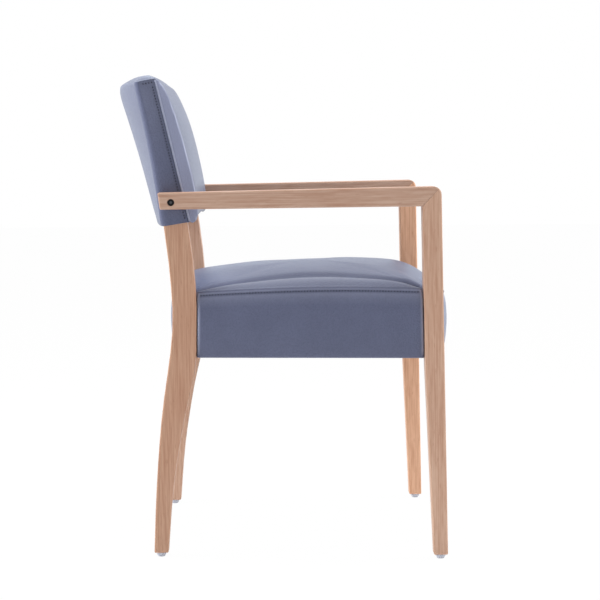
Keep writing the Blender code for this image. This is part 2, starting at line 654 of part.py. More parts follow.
def back_rings(inset):
    """Level rings of the back form from the bottom up, all drawn in by inset."""
    half = BACK_HALF - inset
    tilt = math.tan(math.radians(BACK_TILT))
    rings = []
    for share in BACK_ROWS:
        side = back_rear_side(share)
        deep = mix(BACK_SIDE_HIGH, BACK_SIDE_LOW, (1 - share) ** 2)
        low = min(share / ROLL_LOW, 1.0)
        high = min((1 - share) / ROLL_HIGH, 1.0)
        roll = math.sqrt(1 - (1 - low) ** 2) * mix(0.35, 1.0, math.sqrt(1 - (1 - high) ** 2))
        dome = BACK_DOME * (1 - 0.5 * abs(2 * share - 1) ** 4) * roll
        top_round = BACK_TOP_ROUND * (1 - math.sqrt(1 - (1 - min((1 - share) / ROLL_HIGH, 1.0)) ** 2))
        rear_row, front_row = [], []
        for u in BACK_COLUMNS:
            hollow = back_sag(share) * (1 - u * u)
            seam_y = side - deep
            rear_y = side + hollow - inset - top_round
            front_y = seam_y + hollow * BACK_FRONT_SAG - dome * (1 - u ** 10) + inset
            for row, y, arch in ((rear_row, rear_y, BACK_REAR_ARCH), (front_row, front_y, BACK_ARCH)):
                top = BACK_SIDE_TOP + arch * (1 - u * u) - inset
                row.append((half * u, y, mix(BACK_BOTTOM + inset, top, share) - tilt * (y - seam_y)))
        rings.append(rear_row + list(reversed(front_row)))
    return rings


def back_board_rings(room, half):
    """Rings of the curved board, or of its space in the foam, which reaches the legs."""
    rows, columns = 5, 8
    heights = [mix(BACK_BOARD_BOTTOM, BACK_BOARD_TOP, i / rows) for i in range(rows + 1)]
    rings = []
    for i, z in enumerate(heights):
        share = (z - BACK_BOTTOM) / (BACK_SIDE_TOP - BACK_BOTTOM)
        leg = (rear_leg_front(z) + rear_leg_rear(z)) / 2
        z += room * ((i == rows) - (i == 0))
        rear_row, front_row = [], []
        for k in range(columns + 1):
            u = mix(-1, 1, k / columns)
            x = REAR_IN * u
            if abs(u) == 1:
                x = half * u
            y = leg + back_sag(share) * BACK_BOARD_SAG * (1 - u * u)
            rear_row.append((x, y + BACK_BOARD / 2 + room, z))
            front_row.append((x, y - BACK_BOARD / 2 - room, z))
        rings.append(rear_row + list(reversed(front_row)))
    return rings


def build_back(legs):
    cover = form("back_cover", back_rings(0), LEATHERETTE, sheet=True)
    cut(form("back_cover_inside", back_rings(COVER), sheet=True), cover)
    foam = form("back_foam", back_rings(COVER + GAP), FOAM, sheet=True)
    board = form("back_board", back_board_rings(0, REAR_IN - GAP), PLYWOOD, sheet=True)
    cut(form("back_board_space", back_board_rings(GAP, REAR_IN + GAP), sheet=True), foam)

    steps = 12
    heights = [mix(BACK_BOTTOM - 2 * CUT_PAST, REAR_LEG_TOP + GAP, i / steps) for i in range(steps + 1)]
    front = [(rear_leg_front(z) - GAP, z) for z in heights]
    rear = [(rear_leg_rear(z) + GAP, z) for z in heights]
    inner = [REAR_IN - GAP] * len(heights)
    for word, side in SIDES:
        _, arm, rear_leg = legs[word]
        cut(timber("back_leg_hole_" + word, side, front, rear, REAR_OUT + GAP, inner, None), cover)
        cut(timber("back_leg_slot_" + word, side, front, rear, REAR_OUT + CUT_PAST, inner, None), foam)
        for place, share in zip(("low", "high"), BOARD_DOWEL_PLACES):
            z = mix(BACK_BOARD_BOTTOM, BACK_BOARD_TOP, share)
            y = (rear_leg_front(z) + rear_leg_rear(z)) / 2
            dowel("back_dowel_%s_%s" % (place, word), (side * REAR_IN, y, z), (1, 0, 0),
                  BOARD_DOWEL_WIDE, BOARD_DOWEL_LONG, rear_leg, board)
        build_bolt(word, side, arm, cover, rear_leg)


def build_bolt(word, side, arm, cover, rear_leg):
    """Socket-head bolt through the arm into a threaded insert in the rear leg."""
    z = arm_low(ARM_END) + BOLT_RISE
    y = (rear_leg_front(z) + rear_leg_rear(z)) / 2
    inward = (-side, 0, 0)
    base = (side * (HALF - BOLT_SINK), y, z)
    head, shank = BOLT_HEAD_WIDE / 2, BOLT_WIDE / 2
    long = BOLT_HEAD_HIGH + BOLT_LONG
    bolt = turned("arm_bolt_" + word,
                  [(0, 0), (head - DOWEL_EASE / 2, 0), (head, DOWEL_EASE / 2), (head, BOLT_HEAD_HIGH),
                   (shank, BOLT_HEAD_HIGH), (shank, long), (0, long)], base, inward, BLACK_STEEL)
    socket = BOLT_SOCKET / 2
    cut(turned("arm_bolt_socket_" + word, [(0, -CUT_PAST), (socket, -CUT_PAST), (socket, BOLT_SOCKET_DEEP),
                                           (0, BOLT_SOCKET_DEEP)], base, inward, steps=6), bolt)
    hole = [(0, -CUT_PAST), (head + GAP, -CUT_PAST), (head + GAP, BOLT_HEAD_HIGH + GAP),
            (shank + GAP, BOLT_HEAD_HIGH + GAP), (shank + GAP, long + GAP), (0, long + GAP)]
    cut(turned("arm_bolt_hole_" + word, hole, base, inward), arm, cover, rear_leg)

    start = HALF - BOLT_SINK - REAR_OUT + DOWEL_EASE
    sleeve = INSERT_WIDE / 2
    bore = shank + GAP
    turned("leg_insert_" + word,
           [(bore, start), (sleeve, start), (sleeve, start + INSERT_LONG), (bore, start + INSERT_LONG)],
           base, inward, BRIGHT_STEEL)
    cut(turned("leg_insert_hole_" + word,
               [(0, start - GAP), (sleeve + GAP, start - GAP), (sleeve + GAP, start + INSERT_LONG + GAP),
                (0, start + INSERT_LONG + GAP)], base, inward), rear_leg)


def centre_chair():
    """Stand the chair with the middle of its depth over the origin."""
    bpy.context.view_layer.update()
    graph = bpy.context.evaluated_depsgraph_get()
    depths = []
    for obj in PIECES.objects:
        if obj.type == 'MESH':
            depths += [vertex.co.y for vertex in obj.evaluated_get(graph).data.vertices]
    ROOT.location.y = -(min(depths) + max(depths)) / 2
    bpy.context.view_layer.update()


empty_scene()
PIECES = collection(PART_NAME)
CUTTERS = collection(PART_NAME + "_cutters")
ROOT = bpy.data.objects.new(PART_NAME, None)
PIECES.objects.link(ROOT)

chair_legs = build_frame()
build_seat(chair_legs)
build_back(chair_legs)
centre_chair()
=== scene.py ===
"""Looks of a dining armchair with a beech frame and leatherette upholstery.

Metres, +Z up. The chair faces -Y and the sitter's left is +X.
"""

import functools
import math

import bmesh
import bpy
from bpy.props import FloatProperty, FloatVectorProperty, PointerProperty
from mathutils import Matrix, Vector
from mathutils.bvhtree import BVHTree


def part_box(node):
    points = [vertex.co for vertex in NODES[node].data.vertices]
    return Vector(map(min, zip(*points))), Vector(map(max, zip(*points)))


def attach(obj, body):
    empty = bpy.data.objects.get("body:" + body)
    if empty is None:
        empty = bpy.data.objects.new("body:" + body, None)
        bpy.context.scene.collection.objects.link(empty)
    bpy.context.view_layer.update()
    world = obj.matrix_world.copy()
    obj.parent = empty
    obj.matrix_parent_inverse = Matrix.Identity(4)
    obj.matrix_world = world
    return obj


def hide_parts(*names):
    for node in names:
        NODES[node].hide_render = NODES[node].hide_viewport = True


bl_info = {
    "name": "Dining armchair looks",
    "version": (1, 0, 0),
    "blender": (4, 5, 0),
    "location": "View3D > Sidebar > Armchair",
    "description": "Upholstery, timber finish, fittings and stage of a dining armchair",
    "category": "Object",
}

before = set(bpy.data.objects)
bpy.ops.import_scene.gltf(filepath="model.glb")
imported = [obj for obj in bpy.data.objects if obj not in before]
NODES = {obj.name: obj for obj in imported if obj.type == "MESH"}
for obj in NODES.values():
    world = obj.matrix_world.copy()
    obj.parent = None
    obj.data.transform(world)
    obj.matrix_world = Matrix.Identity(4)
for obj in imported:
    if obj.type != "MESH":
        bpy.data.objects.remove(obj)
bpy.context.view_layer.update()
SEAT_LOW, SEAT_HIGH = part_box("seat_cover")
BACK_LOW, BACK_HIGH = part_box("back_cover")
LEG_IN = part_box("front_leg_left")[0][0]
REAR_LEG_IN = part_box("rear_leg_left")[0][0]
BODY = "root"


def linear(code):
    """Linear colour of an sRGB hex code."""
    parts = [int(code[i:i + 2], 16) / 255 for i in (0, 2, 4)]
    return [c / 12.92 if c <= 0.04045 else ((c + 0.055) / 1.055) ** 2.4 for c in parts]


def number(name, description, default, **more):
    return FloatProperty(name=name, description=description, default=default, **more)


def length(name, description, metres):
    return number(name, description, metres, unit='LENGTH', precision=4)


def angle(name, description, degrees):
    return number(name, description, math.radians(degrees), subtype='ANGLE')


def share(name, description, default):
    return number(name, description, default, min=0.0, max=1.0, subtype='FACTOR')


def colour(name, description, code):
    return FloatVectorProperty(name=name, description=description, default=linear(code), min=0.0, max=1.0,
                               subtype='COLOR')


class ArmchairSeat(bpy.types.PropertyGroup):
    """Sizes of the seat cushion."""
    half_front: length("Half width, front", "Half width of the seat at its front corners", 0.2760)
    half_rear: length("Half width, rear", "Half width of the seat at its rear corners", 0.2431)
    front_bow: length("Front bow", "How far the front edge bows forward", 0.0340)
    rear_bow: length("Rear bow", "How far the rear edge bows backward", 0.0225)
    swell: length("Border swell", "How far the border swells between seam and base", 0.0050)
    shoulder: length("Border shoulder", "How far the border rolls in below the seam", 0.0035)
    seam: length("Front seam height", "Height of the seam beside the front legs", 0.4705)
    seam_rear: length("Rear seam height", "Height of the seam beside the rear legs", 0.4626)
    seam_rise: length("Side seam rise", "How far the side seam bows up", 0.0067)
    seam_dip: length("Front seam dip", "How far the front seam runs lower at the middle", 0.0165)
    crown: length("Crown height", "Height of the top of the crown", SEAT_HIGH[2] - 0.003)
    crown_front: share("Front rise", "Share of the half depth over which the crown rises", 0.29)
    crown_rear: share("Rear rise", "The same from the rear", 0.17)
    crown_fall: share("Rear fall", "Share of the crown lost towards the rear", 0.60)
    crown_dip: share("Front fall", "Share of the crown lost towards the front", 0.20)
    lip: length("Lip", "Cover turned in under the rails", 0.0200)
    clear: length("Leg clearance", "Air between the cover and a leg", 0.0008)
    notch_gap: length("Notch gap", "How far the top corner of the border stands off a leg", 0.0020)
    fold: length("Fold depth", "Depth of the fold at the leg notches", 0.0150)
    fold_bow: length("Fold bow", "How far the fold bows in between the notches", 0.0600)
    margin: length("Margin rise", "Rise of the side margin from its seam to the fold", 0.0160)


class ArmchairBack(bpy.types.PropertyGroup):
    """Sizes of the back cushion."""
    half: length("Half width", "Half width over the side panels", BACK_HIGH[0])
    rear_foot: length("Rear foot", "Depth of the rear edge at the lower seam", 0.2123)
    bottom: length("Lower seam", "Height of the front seam's lower end", 0.5880)
    side_top: length("Upper seam", "Height of the front seam's upper end", 0.8330)
    arch: length("Front arch", "Rise of the front top edge to the middle", 0.0175)
    rear_arch: length("Rear arch", "Rise of the rear top edge to the middle", 0.0080)
    tilt: angle("End slope", "Slope of the side panel's ends", 10.0)
    lean_low: angle("Lower recline", "Recline at the bottom", 6.0)
    lean_high: angle("Upper recline", "Recline at the top", 13.4)
    sag_low: length("Lower hollow", "Hollow in plan at the bottom", 0.0172)
    sag_high: length("Upper hollow", "Hollow in plan at the top", 0.0490)
    front_sag: length("Front top hollow", "Hollow in plan of the front panel's top edge", 0.0256)
    front_bow: length("Front bow", "Bow in plan of the front panel's face", 0.0015)
    bevel: number("Bevel", "Slope of the front panel's ends from seam to ridge", 0.95)
    deep_low: length("Lower depth", "Depth of the side panel at the bottom", 0.0500)
    deep_high: length("Upper depth", "Depth of the side panel at the top", 0.0350)
    nose: length("Nose", "Extra depth at the ends of the front panel's lower edge", 0.0055)
    under_roll: length("Under roll", "How far the front panel rolls under at its lower seam", 0.0120)
    round_top: length("Top edge round", "Radius of the rear top edge", 0.0100)
    round_rear: length("Rear edge round", "Radius of the rear edges", 0.0100)


class ArmchairFilling(bpy.types.PropertyGroup):
    """How the cushions are blown up."""
    pressure: number("Pressure", "Pressure of the foam on the cover", 3.0)
    stretch: number("Stretch", "Stiffness of the cover against stretch", 20.0)
    bend: number("Bend", "Stiffness of the cover against bending", 1.0)
    cap: length("Cap", "Furthest that a point of the cover may move", 0.0040)


class ArmchairSewing(bpy.types.PropertyGroup):
    """Sizes of seams, welts and stitches."""
    pitch: length("Stitch pitch", "Distance between two stitches", 0.0050)
    long: length("Stitch length", "Length of a stitch that shows", 0.0025)
    wide: length("Stitch width", "Width of the thread", 0.0026)
    drop: length("Seat stitch drop", "Stitch row below the seat's seam", 0.0066)
    set_back: length("Back stitch set", "Stitch row behind the back's front seam", 0.0075)
    welt: length("Welt radius", "Radius of the welt in the back's front seam", 0.0016)
    groove: length("Seam groove", "Depth of a seam's groove", 0.0014)


class ArmchairFinish(bpy.types.PropertyGroup):
    """Colours of the finishes."""
    leatherette: colour("Leatherette", "Face of the cover", "565B74")
    # Deep colour of the grain valleys, and painted shade in the seams and the seat's fold.
    leatherette_grain_and_shade: colour("Leatherette, deep", "Grain valleys and seams", "3C4056")
    # Colour of the painted highlights along edges, the back's ridge and bevel, and the welt.
    painted_highlight_colour: colour("Leatherette, rim", "Edges that are stretched and rubbed", "C3C8DE")
    thread: colour("Thread", "Sewing thread", "303344")
    beech: colour("Beech", "Early wood under clear lacquer", "C6A48E")
    beech_deep: colour("Beech, deep", "Late wood lines", "AC8169")
    beech_fleck: colour("Beech fleck", "Ray flecks", "9A6E55")
    plywood: colour("Plywood", "Birch plies", "CDB28C")
    nonwoven: colour("Nonwoven", "Dust cover", "1E1E20")
    nylon: colour("Nylon", "Glides", "BCC0CC")
    black_oxide: colour("Black oxide", "Bolt head", "1B1B1E")
    zinc: colour("Zinc", "Plated pins, screws and inserts", "B9BCC2")


class ArmchairStage(bpy.types.PropertyGroup):
    """Camera and lamps."""
    camera_at: FloatVectorProperty(name="Camera", description="Place of the camera", subtype='TRANSLATION',
                                   default=(-3.3182, 0.03068, 0.7251))
    yaw: angle("Yaw", "Turn of the camera to the chair's front", 1.065)
    pitch: angle("Pitch", "How far the camera looks down", 5.098)
    roll: angle("Roll", "Roll of the camera", -0.333)
    lens: number("Lens", "Focal length", 106.92, subtype='DISTANCE_CAMERA')
    floor: colour("Floor", "Pale studio floor", "F4F4F4")
    ambient: number("Ambient", "Strength of the white room", 0.38, min=0.0)


def mix(a, b, t):
    return a + (b - a) * t


def smooth(t):
    """Slow start and end between 0 and 1."""
    t = min(max(t, 0.0), 1.0)
    return t * t * (3 - 2 * t)


def ease(t, start, run):
    """Smooth rise from 0 to 1 that starts at a value and takes a run."""
    return smooth((t - start) / run)


def quarter(t):
    """Rise of a quarter circle from 0 to 1."""
    t = min(max(t, 0.0), 1.0)
    return math.sqrt(1 - (1 - t) ** 2)


def add(tree, kind, props=None, inputs=None):
    """Add a node with its settings, input values and links."""
    node = tree.nodes.new(kind)
    for name, value in (props or {}).items():
        setattr(node, name, value)
    for name, value in (inputs or {}).items():
        if isinstance(value, bpy.types.NodeSocket):
            tree.links.new(value, node.inputs[name])
        else:
            node.inputs[name].default_value = value
    return node


def finish(name):
    """A new material; returns it with its tree and shader."""
    material = bpy.data.materials.new(name)
    material.use_nodes = True
    return material, material.node_tree, material.node_tree.nodes["Principled BSDF"]


def here(tree):
    """Coordinates of the piece itself."""
    return add(tree, "ShaderNodeTexCoord").outputs["Object"]


def rgba(value):
    return (*value, 1.0)


def placed(tree, place, **inputs):
    """Coordinates moved, turned or stretched."""
    return add(tree, "ShaderNodeMapping", None, {"Vector": place, **inputs}).outputs[0]


def noise(tree, place, size, detail, roughness=0.5):
    """Noise with features of a size in metres."""
    return add(tree, "ShaderNodeTexNoise", None, {"Vector": place, "Scale": 1 / size, "Detail": detail,
                                                  "Roughness": roughness}).outputs["Fac"]


# A wave texture of scale 1 has a wave every 0.314 m.
WAVE_SCALE = 0.314


def wave(tree, place, spacing, props, **inputs):
    """Waves at a spacing in metres."""
    return add(tree, "ShaderNodeTexWave", props,
               {"Vector": place, "Scale": WAVE_SCALE / spacing, **inputs}).outputs["Fac"]


def maths(tree, operation, *values, clamp=False):
    """Sum on sockets and numbers."""
    return add(tree, "ShaderNodeMath", {"operation": operation, "use_clamp": clamp},
               dict(enumerate(values))).outputs[0]


def ramp(tree, value, low, high, start, end):
    """Map a value between low and high to one between start and end."""
    return add(tree, "ShaderNodeMapRange", None, {"Value": value, "From Min": low, "From Max": high,
                                                  "To Min": start, "To Max": end}).outputs[0]


def blend(tree, amount, first, second):
    """Colour between a colour or socket and a colour."""
    if not isinstance(first, bpy.types.NodeSocket):
        first = rgba(first)
    return add(tree, "ShaderNodeMix", {"data_type": 'RGBA'}, {0: amount, 6: first, 7: rgba(second)}).outputs[2]


def relief(tree, height, strength, distance):
    """Normals of a bump that is so many metres high."""
    return add(tree, "ShaderNodeBump", None,
               {"Height": height, "Strength": strength, "Distance": distance}).outputs[0]


def plug(tree, shader, sockets):
    """Link sockets to the shader's inputs by name."""
    for name, socket in sockets.items():
        tree.links.new(socket, shader.inputs[name])


def scaled(shade, factor):
    return [c * factor for c in shade]


def seen_rays(tree):
    """1 for rays that show the stage, in the picture or in a shine, and 0 for rays that only light the chair."""
    path = add(tree, "ShaderNodeLightPath").outputs
    seen = maths(tree, 'MAXIMUM', path["Is Camera Ray"], path["Is Glossy Ray"])
    return maths(tree, 'MAXIMUM', seen, path["Is Transmission Ray"])


# Share of the floor that shows plain white.
FLOOR_WHITE = 0.985


def grained_leatherette(colours):
    """PVC leatherette: embossed pebble grain, satin, a little mottled, with painted shade in the seams and the
    seat's fold and painted highlights along edges.
    """
    material, tree, shader = finish("grained_leatherette")
    place = here(tree)
    # Pebbles of 2.6 mm, twice the real grain, so that they show at this distance.
    pebble = add(tree, "ShaderNodeTexVoronoi", {"feature": 'SMOOTH_F1'},
                 {"Vector": place, "Scale": 1 / 0.0026, "Smoothness": 0.6}).outputs["Distance"]
    fine = noise(tree, place, 0.0042, 3.0, 0.6)
    # Broad unevenness of the foam under the cover, about 60 mm across.
    broad = noise(tree, place, 0.060, 2.0)
    seam, painted_highlight = (add(tree, "ShaderNodeAttribute", {"attribute_name": name}).outputs["Fac"]
                 for name in ("seam", "painted_highlight"))
    height = maths(tree, 'MULTIPLY_ADD', fine, 0.8, pebble)
    dark = maths(tree, 'ADD', ramp(tree, height, 0.35, 1.05, 0.34, 0.0), ramp(tree, broad, 0.35, 0.65, 0.0, 0.16))
    # The seam weight adds painted shade: in the seams, beside the back's welt and in the seat's fold.
    dark = maths(tree, 'MULTIPLY_ADD', seam, 0.65, dark, clamp=True)
    tint = blend(tree, dark, colours.leatherette, colours.leatherette_grain_and_shade)
    # Painted highlights: paler along edges, the back's ridge and bevel, and the welt.
    tint = blend(tree, painted_highlight, tint, colours.painted_highlight_colour)
    plug(tree, shader, {"Base Color": tint, "Roughness": ramp(tree, fine, 0.3, 0.7, 0.30, 0.40),
                        "Normal": relief(tree, height, 0.85, 0.0005)})
    shader.inputs["IOR"].default_value = 1.52
    shader.inputs["Specular Tint"].default_value = (0.84, 0.89, 1.0, 1.0)
    shader.inputs["Sheen Weight"].default_value = 0.18
    shader.inputs["Sheen Tint"].default_value = (0.62, 0.78, 1.0, 1.0)
    shader.inputs["Sheen Roughness"].default_value = 0.35
    return material


def sewing_thread(colours):
    """Polyester thread: two plies twisted, dull."""
    material, tree, shader = finish("polyester_thread")
    place = here(tree)
    # Twist of about 1 mm.
    ply = wave(tree, place, 0.0010, {"bands_direction": 'DIAGONAL'})
    plug(tree, shader, {"Base Color": blend(tree, ply, scaled(colours.thread, 0.7), colours.thread),
                        "Normal": relief(tree, ply, 0.3, 0.0002)})
    shader.inputs["Roughness"].default_value = 0.7
    return material


def lacquered_beech(colours, name, grain, shift, tone_and_light):
    """Beech planed and clear lacquered: fine straight grain, faint rings, short brown flecks."""
    material, tree, shader = finish("lacquered_beech_" + name)
    place = here(tree)
    # Each board's factors scale its colours; for the far legs on the left they paint light as well.
    pale, deep, brown = ([c * t for c, t in zip(shade, tone_and_light)]
                         for shade in (colours.beech, colours.beech_deep, colours.beech_fleck))
    turn = {'X': (0, math.pi / 2, 0), 'Y': (math.pi / 2, 0, 0), 'Z': (0, 0, 0)}[grain]
    # After this the grain runs along Z in every board.
    stood = placed(tree, place, Rotation=turn, Location=(shift, shift * 1.7, shift * 0.6))
    # Vessel lines 2.4 mm apart and some 90 mm long.
    lines = noise(tree, placed(tree, stood, Scale=(1, 1, 1 / 38)), 0.0024, 4.0, 0.65)
    # Growth rings 7 mm apart round a heart that lies outside the board and leans a little to it.
    heart = placed(tree, stood, Location=(0.11, 0.16, 0), Rotation=(0.055, -0.04, 0))
    rings = wave(tree, heart, 0.0070, {"wave_type": 'RINGS', "rings_direction": 'Z'},
                 **{"Distortion": 5.0, "Detail": 2.0, "Detail Scale": 0.6})
    # Broad shade bands, 30 mm wide.
    bands = noise(tree, placed(tree, stood, Scale=(1, 1, 1 / 9)), 0.030, 1.0)
    # Flecks 2 mm wide and 9 mm long.
    spots = noise(tree, placed(tree, stood, Scale=(1, 1, 1 / 5)), 0.0030, 1.0)
    dark = maths(tree, 'MULTIPLY_ADD', rings, 0.18, ramp(tree, lines, 0.40, 0.64, 0.0, 0.68))
    dark = maths(tree, 'ADD', dark, ramp(tree, bands, 0.35, 0.65, -0.10, 0.14), clamp=True)
    wood = blend(tree, dark, pale, deep)
    plug(tree, shader, {"Base Color": blend(tree, ramp(tree, spots, 0.66, 0.80, 0.0, 0.45), wood, brown),
                        "Roughness": ramp(tree, lines, 0.3, 0.7, 0.40, 0.52),
                        "Normal": relief(tree, lines, 0.12, 0.0004)})
    shader.inputs["IOR"].default_value = 1.50
    return material


def birch_plywood(colours):
    """Raw birch plywood: plies 1.4 mm thick, alternately along and across."""
    material, tree, shader = finish("birch_plywood")
    place = here(tree)
    plies = wave(tree, place, 0.0028, {"bands_direction": 'Z'})
    lines = noise(tree, placed(tree, place, Scale=(1 / 25, 1, 1)), 0.003, 3.0)
    dark = maths(tree, 'MULTIPLY', plies, lines)
    plug(tree, shader, {"Base Color": blend(tree, dark, colours.plywood, scaled(colours.plywood, 0.6))})
    shader.inputs["Roughness"].default_value = 0.7
    return material


def spunbond_nonwoven(colours):
    """Spunbond polypropylene: thin black felt with bond points 2.5 mm apart."""
    material, tree, shader = finish("spunbond_nonwoven")
    place = here(tree)
    dots = add(tree, "ShaderNodeTexVoronoi", None,
               {"Vector": place, "Scale": 1 / 0.0025, "Randomness": 0.15}).outputs["Distance"]
    fibre = noise(tree, place, 0.0012, 3.0)
    plug(tree, shader, {"Base Color": blend(tree, fibre, colours.nonwoven, scaled(colours.nonwoven, 2.2)),
                        "Normal": relief(tree, dots, 0.5, 0.0003)})
    shader.inputs["Roughness"].default_value = 0.9
    return material


def moulded_nylon(colours):
    """Injection-moulded nylon: grey, finely spark-eroded skin, darker in its lowest 4 mm, where it meets the
    floor.
    """
    material, tree, shader = finish("moulded_nylon")
    place = here(tree)
    grit = noise(tree, place, 0.0010, 2.0)
    high = add(tree, "ShaderNodeSeparateXYZ", None, {0: place}).outputs["Z"]
    low_dark = maths(tree, 'MULTIPLY', ramp(tree, high, 0.0, 0.004, 0.35, 0.0), grit)
    plug(tree, shader, {"Base Color": blend(tree, low_dark, colours.nylon, scaled(colours.nylon, 0.55)),
                        "Normal": relief(tree, grit, 0.15, 0.0002)})
    shader.inputs["Roughness"].default_value = 0.45
    shader.inputs["IOR"].default_value = 1.53
    return material


def black_oxide_steel(colours, axis_y, axis_z):
    """Blackened steel bolt: satin black head, lighter in its middle."""
    material, tree, shader = finish("black_oxide_steel")
    place = here(tree)
    centred = placed(tree, place, Location=(0, -axis_y, -axis_z), Scale=(0, 1, 1))
    reach = add(tree, "ShaderNodeVectorMath", {"operation": 'LENGTH'}, {0: centred}).outputs["Value"]
    bright = ramp(tree, reach, 0.0019, 0.0024, 0.20, 0.0)
    plug(tree, shader, {"Base Color": blend(tree, bright, colours.black_oxide, colours.zinc),
                        "Roughness": ramp(tree, noise(tree, place, 0.0006, 2.0), 0.0, 1.0, 0.32, 0.5)})
    shader.inputs["Metallic"].default_value = 0.8
    return material


def zinc_plated_steel(colours):
    """Zinc-plated steel: bright, drawn along its length."""
    material, tree, shader = finish("zinc_plated_steel")
    place = here(tree)
    lines = noise(tree, placed(tree, place, Scale=(1, 1, 1 / 20)), 0.0005, 2.0)
    plug(tree, shader, {"Roughness": ramp(tree, lines, 0.0, 1.0, 0.25, 0.42)})
    shader.inputs["Base Color"].default_value = rgba(colours.zinc)
    shader.inputs["Metallic"].default_value = 1.0
    return material


def studio_floor(colours):
    """Matt paper sweep: white to the camera, with part of the chair's shadow kept."""
    material, tree, shader = finish("paper_floor")
    shader.inputs["Base Color"].default_value = rgba(colours.floor)
    shader.inputs["Roughness"].default_value = 0.95
    shader.inputs["Specular IOR Level"].default_value = 0.0
    white = add(tree, "ShaderNodeEmission", None, {"Color": (1, 1, 1, 1), "Strength": 1.0}).outputs[0]
    part = maths(tree, 'MULTIPLY', seen_rays(tree), FLOOR_WHITE)
    both = add(tree, "ShaderNodeMixShader", None, {0: part, 1: shader.outputs[0], 2: white}).outputs[0]
    tree.links.new(both, tree.nodes["Material Output"].inputs["Surface"])
    return material


def put(name, bm, material):
    """Object at the origin from a bmesh, shaded smooth, with its normals outward."""
    bmesh.ops.recalc_face_normals(bm, faces=bm.faces)
    mesh = bpy.data.meshes.new(name)
    bm.to_mesh(mesh)
    bm.free()
    mesh.shade_smooth()
    mesh.materials.append(material)
    obj = bpy.data.objects.new(name, mesh)
    bpy.context.scene.collection.objects.link(obj)
    return obj


def node_tree(name):
    """Faces of a CAD node, to find where they stand."""
    mesh = NODES[name].data
    return BVHTree.FromPolygons([v.co for v in mesh.vertices], [p.vertices for p in mesh.polygons])


def sewn_faces(obj, axis, low, high):
    """Finished faces of a piece whose normal's part along an axis lies between two values."""
    bpy.context.view_layer.update()
    shape = obj.evaluated_get(bpy.context.evaluated_depsgraph_get()).data
    faces = [tuple(p.vertices) for p in shape.polygons if low < abs(p.normal[axis]) <= high]
    used = {index: i for i, index in enumerate(sorted({index for face in faces for index in face}))}
    points = [shape.vertices[index].co.copy() for index in used]
    return BVHTree.FromPolygons(points, [[used[index] for index in face] for face in faces])


FRONT_LEG = node_tree("front_leg_left")
REAR_LEG = node_tree("rear_leg_left")
FRONT_LEG_X = (LEG_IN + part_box("front_leg_left")[1][0]) / 2
REAR_LEG_X = (REAR_LEG_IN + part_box("rear_leg_left")[1][0]) / 2


@functools.lru_cache(maxsize=None)
def notch_depths(z):
    """Rear face of the front leg and front face of the rear leg at a height."""
    front = FRONT_LEG.ray_cast(Vector((FRONT_LEG_X, 0, z)), Vector((0, -1, 0)))[0]
    rear = REAR_LEG.ray_cast(Vector((REAR_LEG_X, 0, z)), Vector((0, 1, 0)))[0]
    return front.y, rear.y


def between(a, b, count):
    """Points from a towards b, without b."""
    return [(mix(a[0], b[0], i / count), mix(a[1], b[1], i / count)) for i in range(count)]


# Points along half of the seat's outline.
FRONT_POINTS = 22
NOTCH_POINTS = 9
SIDE_POINTS = 64
REAR_POINTS = 20


def seat_side(size, y, inset=0.0):
    """Half width of the seat at a depth, drawn in by inset."""
    front, rear = SEAT_LOW[1] + inset + size.front_bow, SEAT_HIGH[1] - inset - size.rear_bow
    return mix(size.half_front - inset, size.half_rear - inset, (y - front) / (rear - front))


def seat_outline(size, inset, z, gap=0.0):
    """Closed plan of the seat at a height, drawn in by inset and notched round the legs."""
    front, rear = size.half_front - inset, size.half_rear - inset
    y_front, y_rear = SEAT_LOW[1] + inset, SEAT_HIGH[1] - inset

    def front_edge(x):
        return x, y_front + size.front_bow * (x / front) ** 2

    def rear_edge(x):
        return x, y_rear - size.rear_bow * (x / rear) ** 2

    near, far = notch_depths(z)
    near, far = near + size.clear + gap, far - size.clear - gap
    x_front, x_rear = LEG_IN - size.clear, REAR_LEG_IN - size.clear
    half = [front_edge(x_front * i / FRONT_POINTS) for i in range(FRONT_POINTS)]
    half += between(front_edge(x_front), (x_front, near), NOTCH_POINTS)
    side_near, side_far = (seat_side(size, near, inset), near), (seat_side(size, far, inset), far)
    half += between((x_front, near), side_near, NOTCH_POINTS)
    half += between(side_near, side_far, SIDE_POINTS)
    half += between(side_far, (x_rear, far), NOTCH_POINTS)
    half += between((x_rear, far), rear_edge(x_rear), NOTCH_POINTS)
    half += [rear_edge(x_rear * (1 - i / REAR_POINTS)) for i in range(REAR_POINTS + 1)]
    loop = half + [(-x, y) for x, y in reversed(half[1:-1])]
    # Corners are eased by drawing each point a little towards its neighbours.
    after = loop[1:] + loop[:1]
    return [((loop[i - 1][0] + 2 * x + after[i][0]) / 4, (loop[i - 1][1] + 2 * y + after[i][1]) / 4)
            for i, (x, y) in enumerate(loop)]


# How far the fold runs on past the notches and over what length it fades, as shares of the side.
FOLD_PAST, FOLD_FADE = 0.10, 0.14
# Bends of the crown's fall to the rear, of the margin and of the crown beyond the fold.
FALL_BEND, MARGIN_BEND, CROWN_BEND = 1.3, 1.7, 2.8
# Where the crown starts to fall to the front, as a share of the half depth.
DIP_START = 0.15
# Share of the half side over which the margin rises from a notch.
MARGIN_RUN = 0.36
# Depth of the fold, and its width and that of its painted shade in metres, half way and at the notches.
FOLD_DEPTHS = (0.42, 1.0)
FOLD_WIDTHS = (0.015, 0.010)
SHADE_WEIGHTS = (0.60, 1.2)
SHADE_WIDTHS = (0.020, 0.011)
SHADE_SHIFT = 0.010


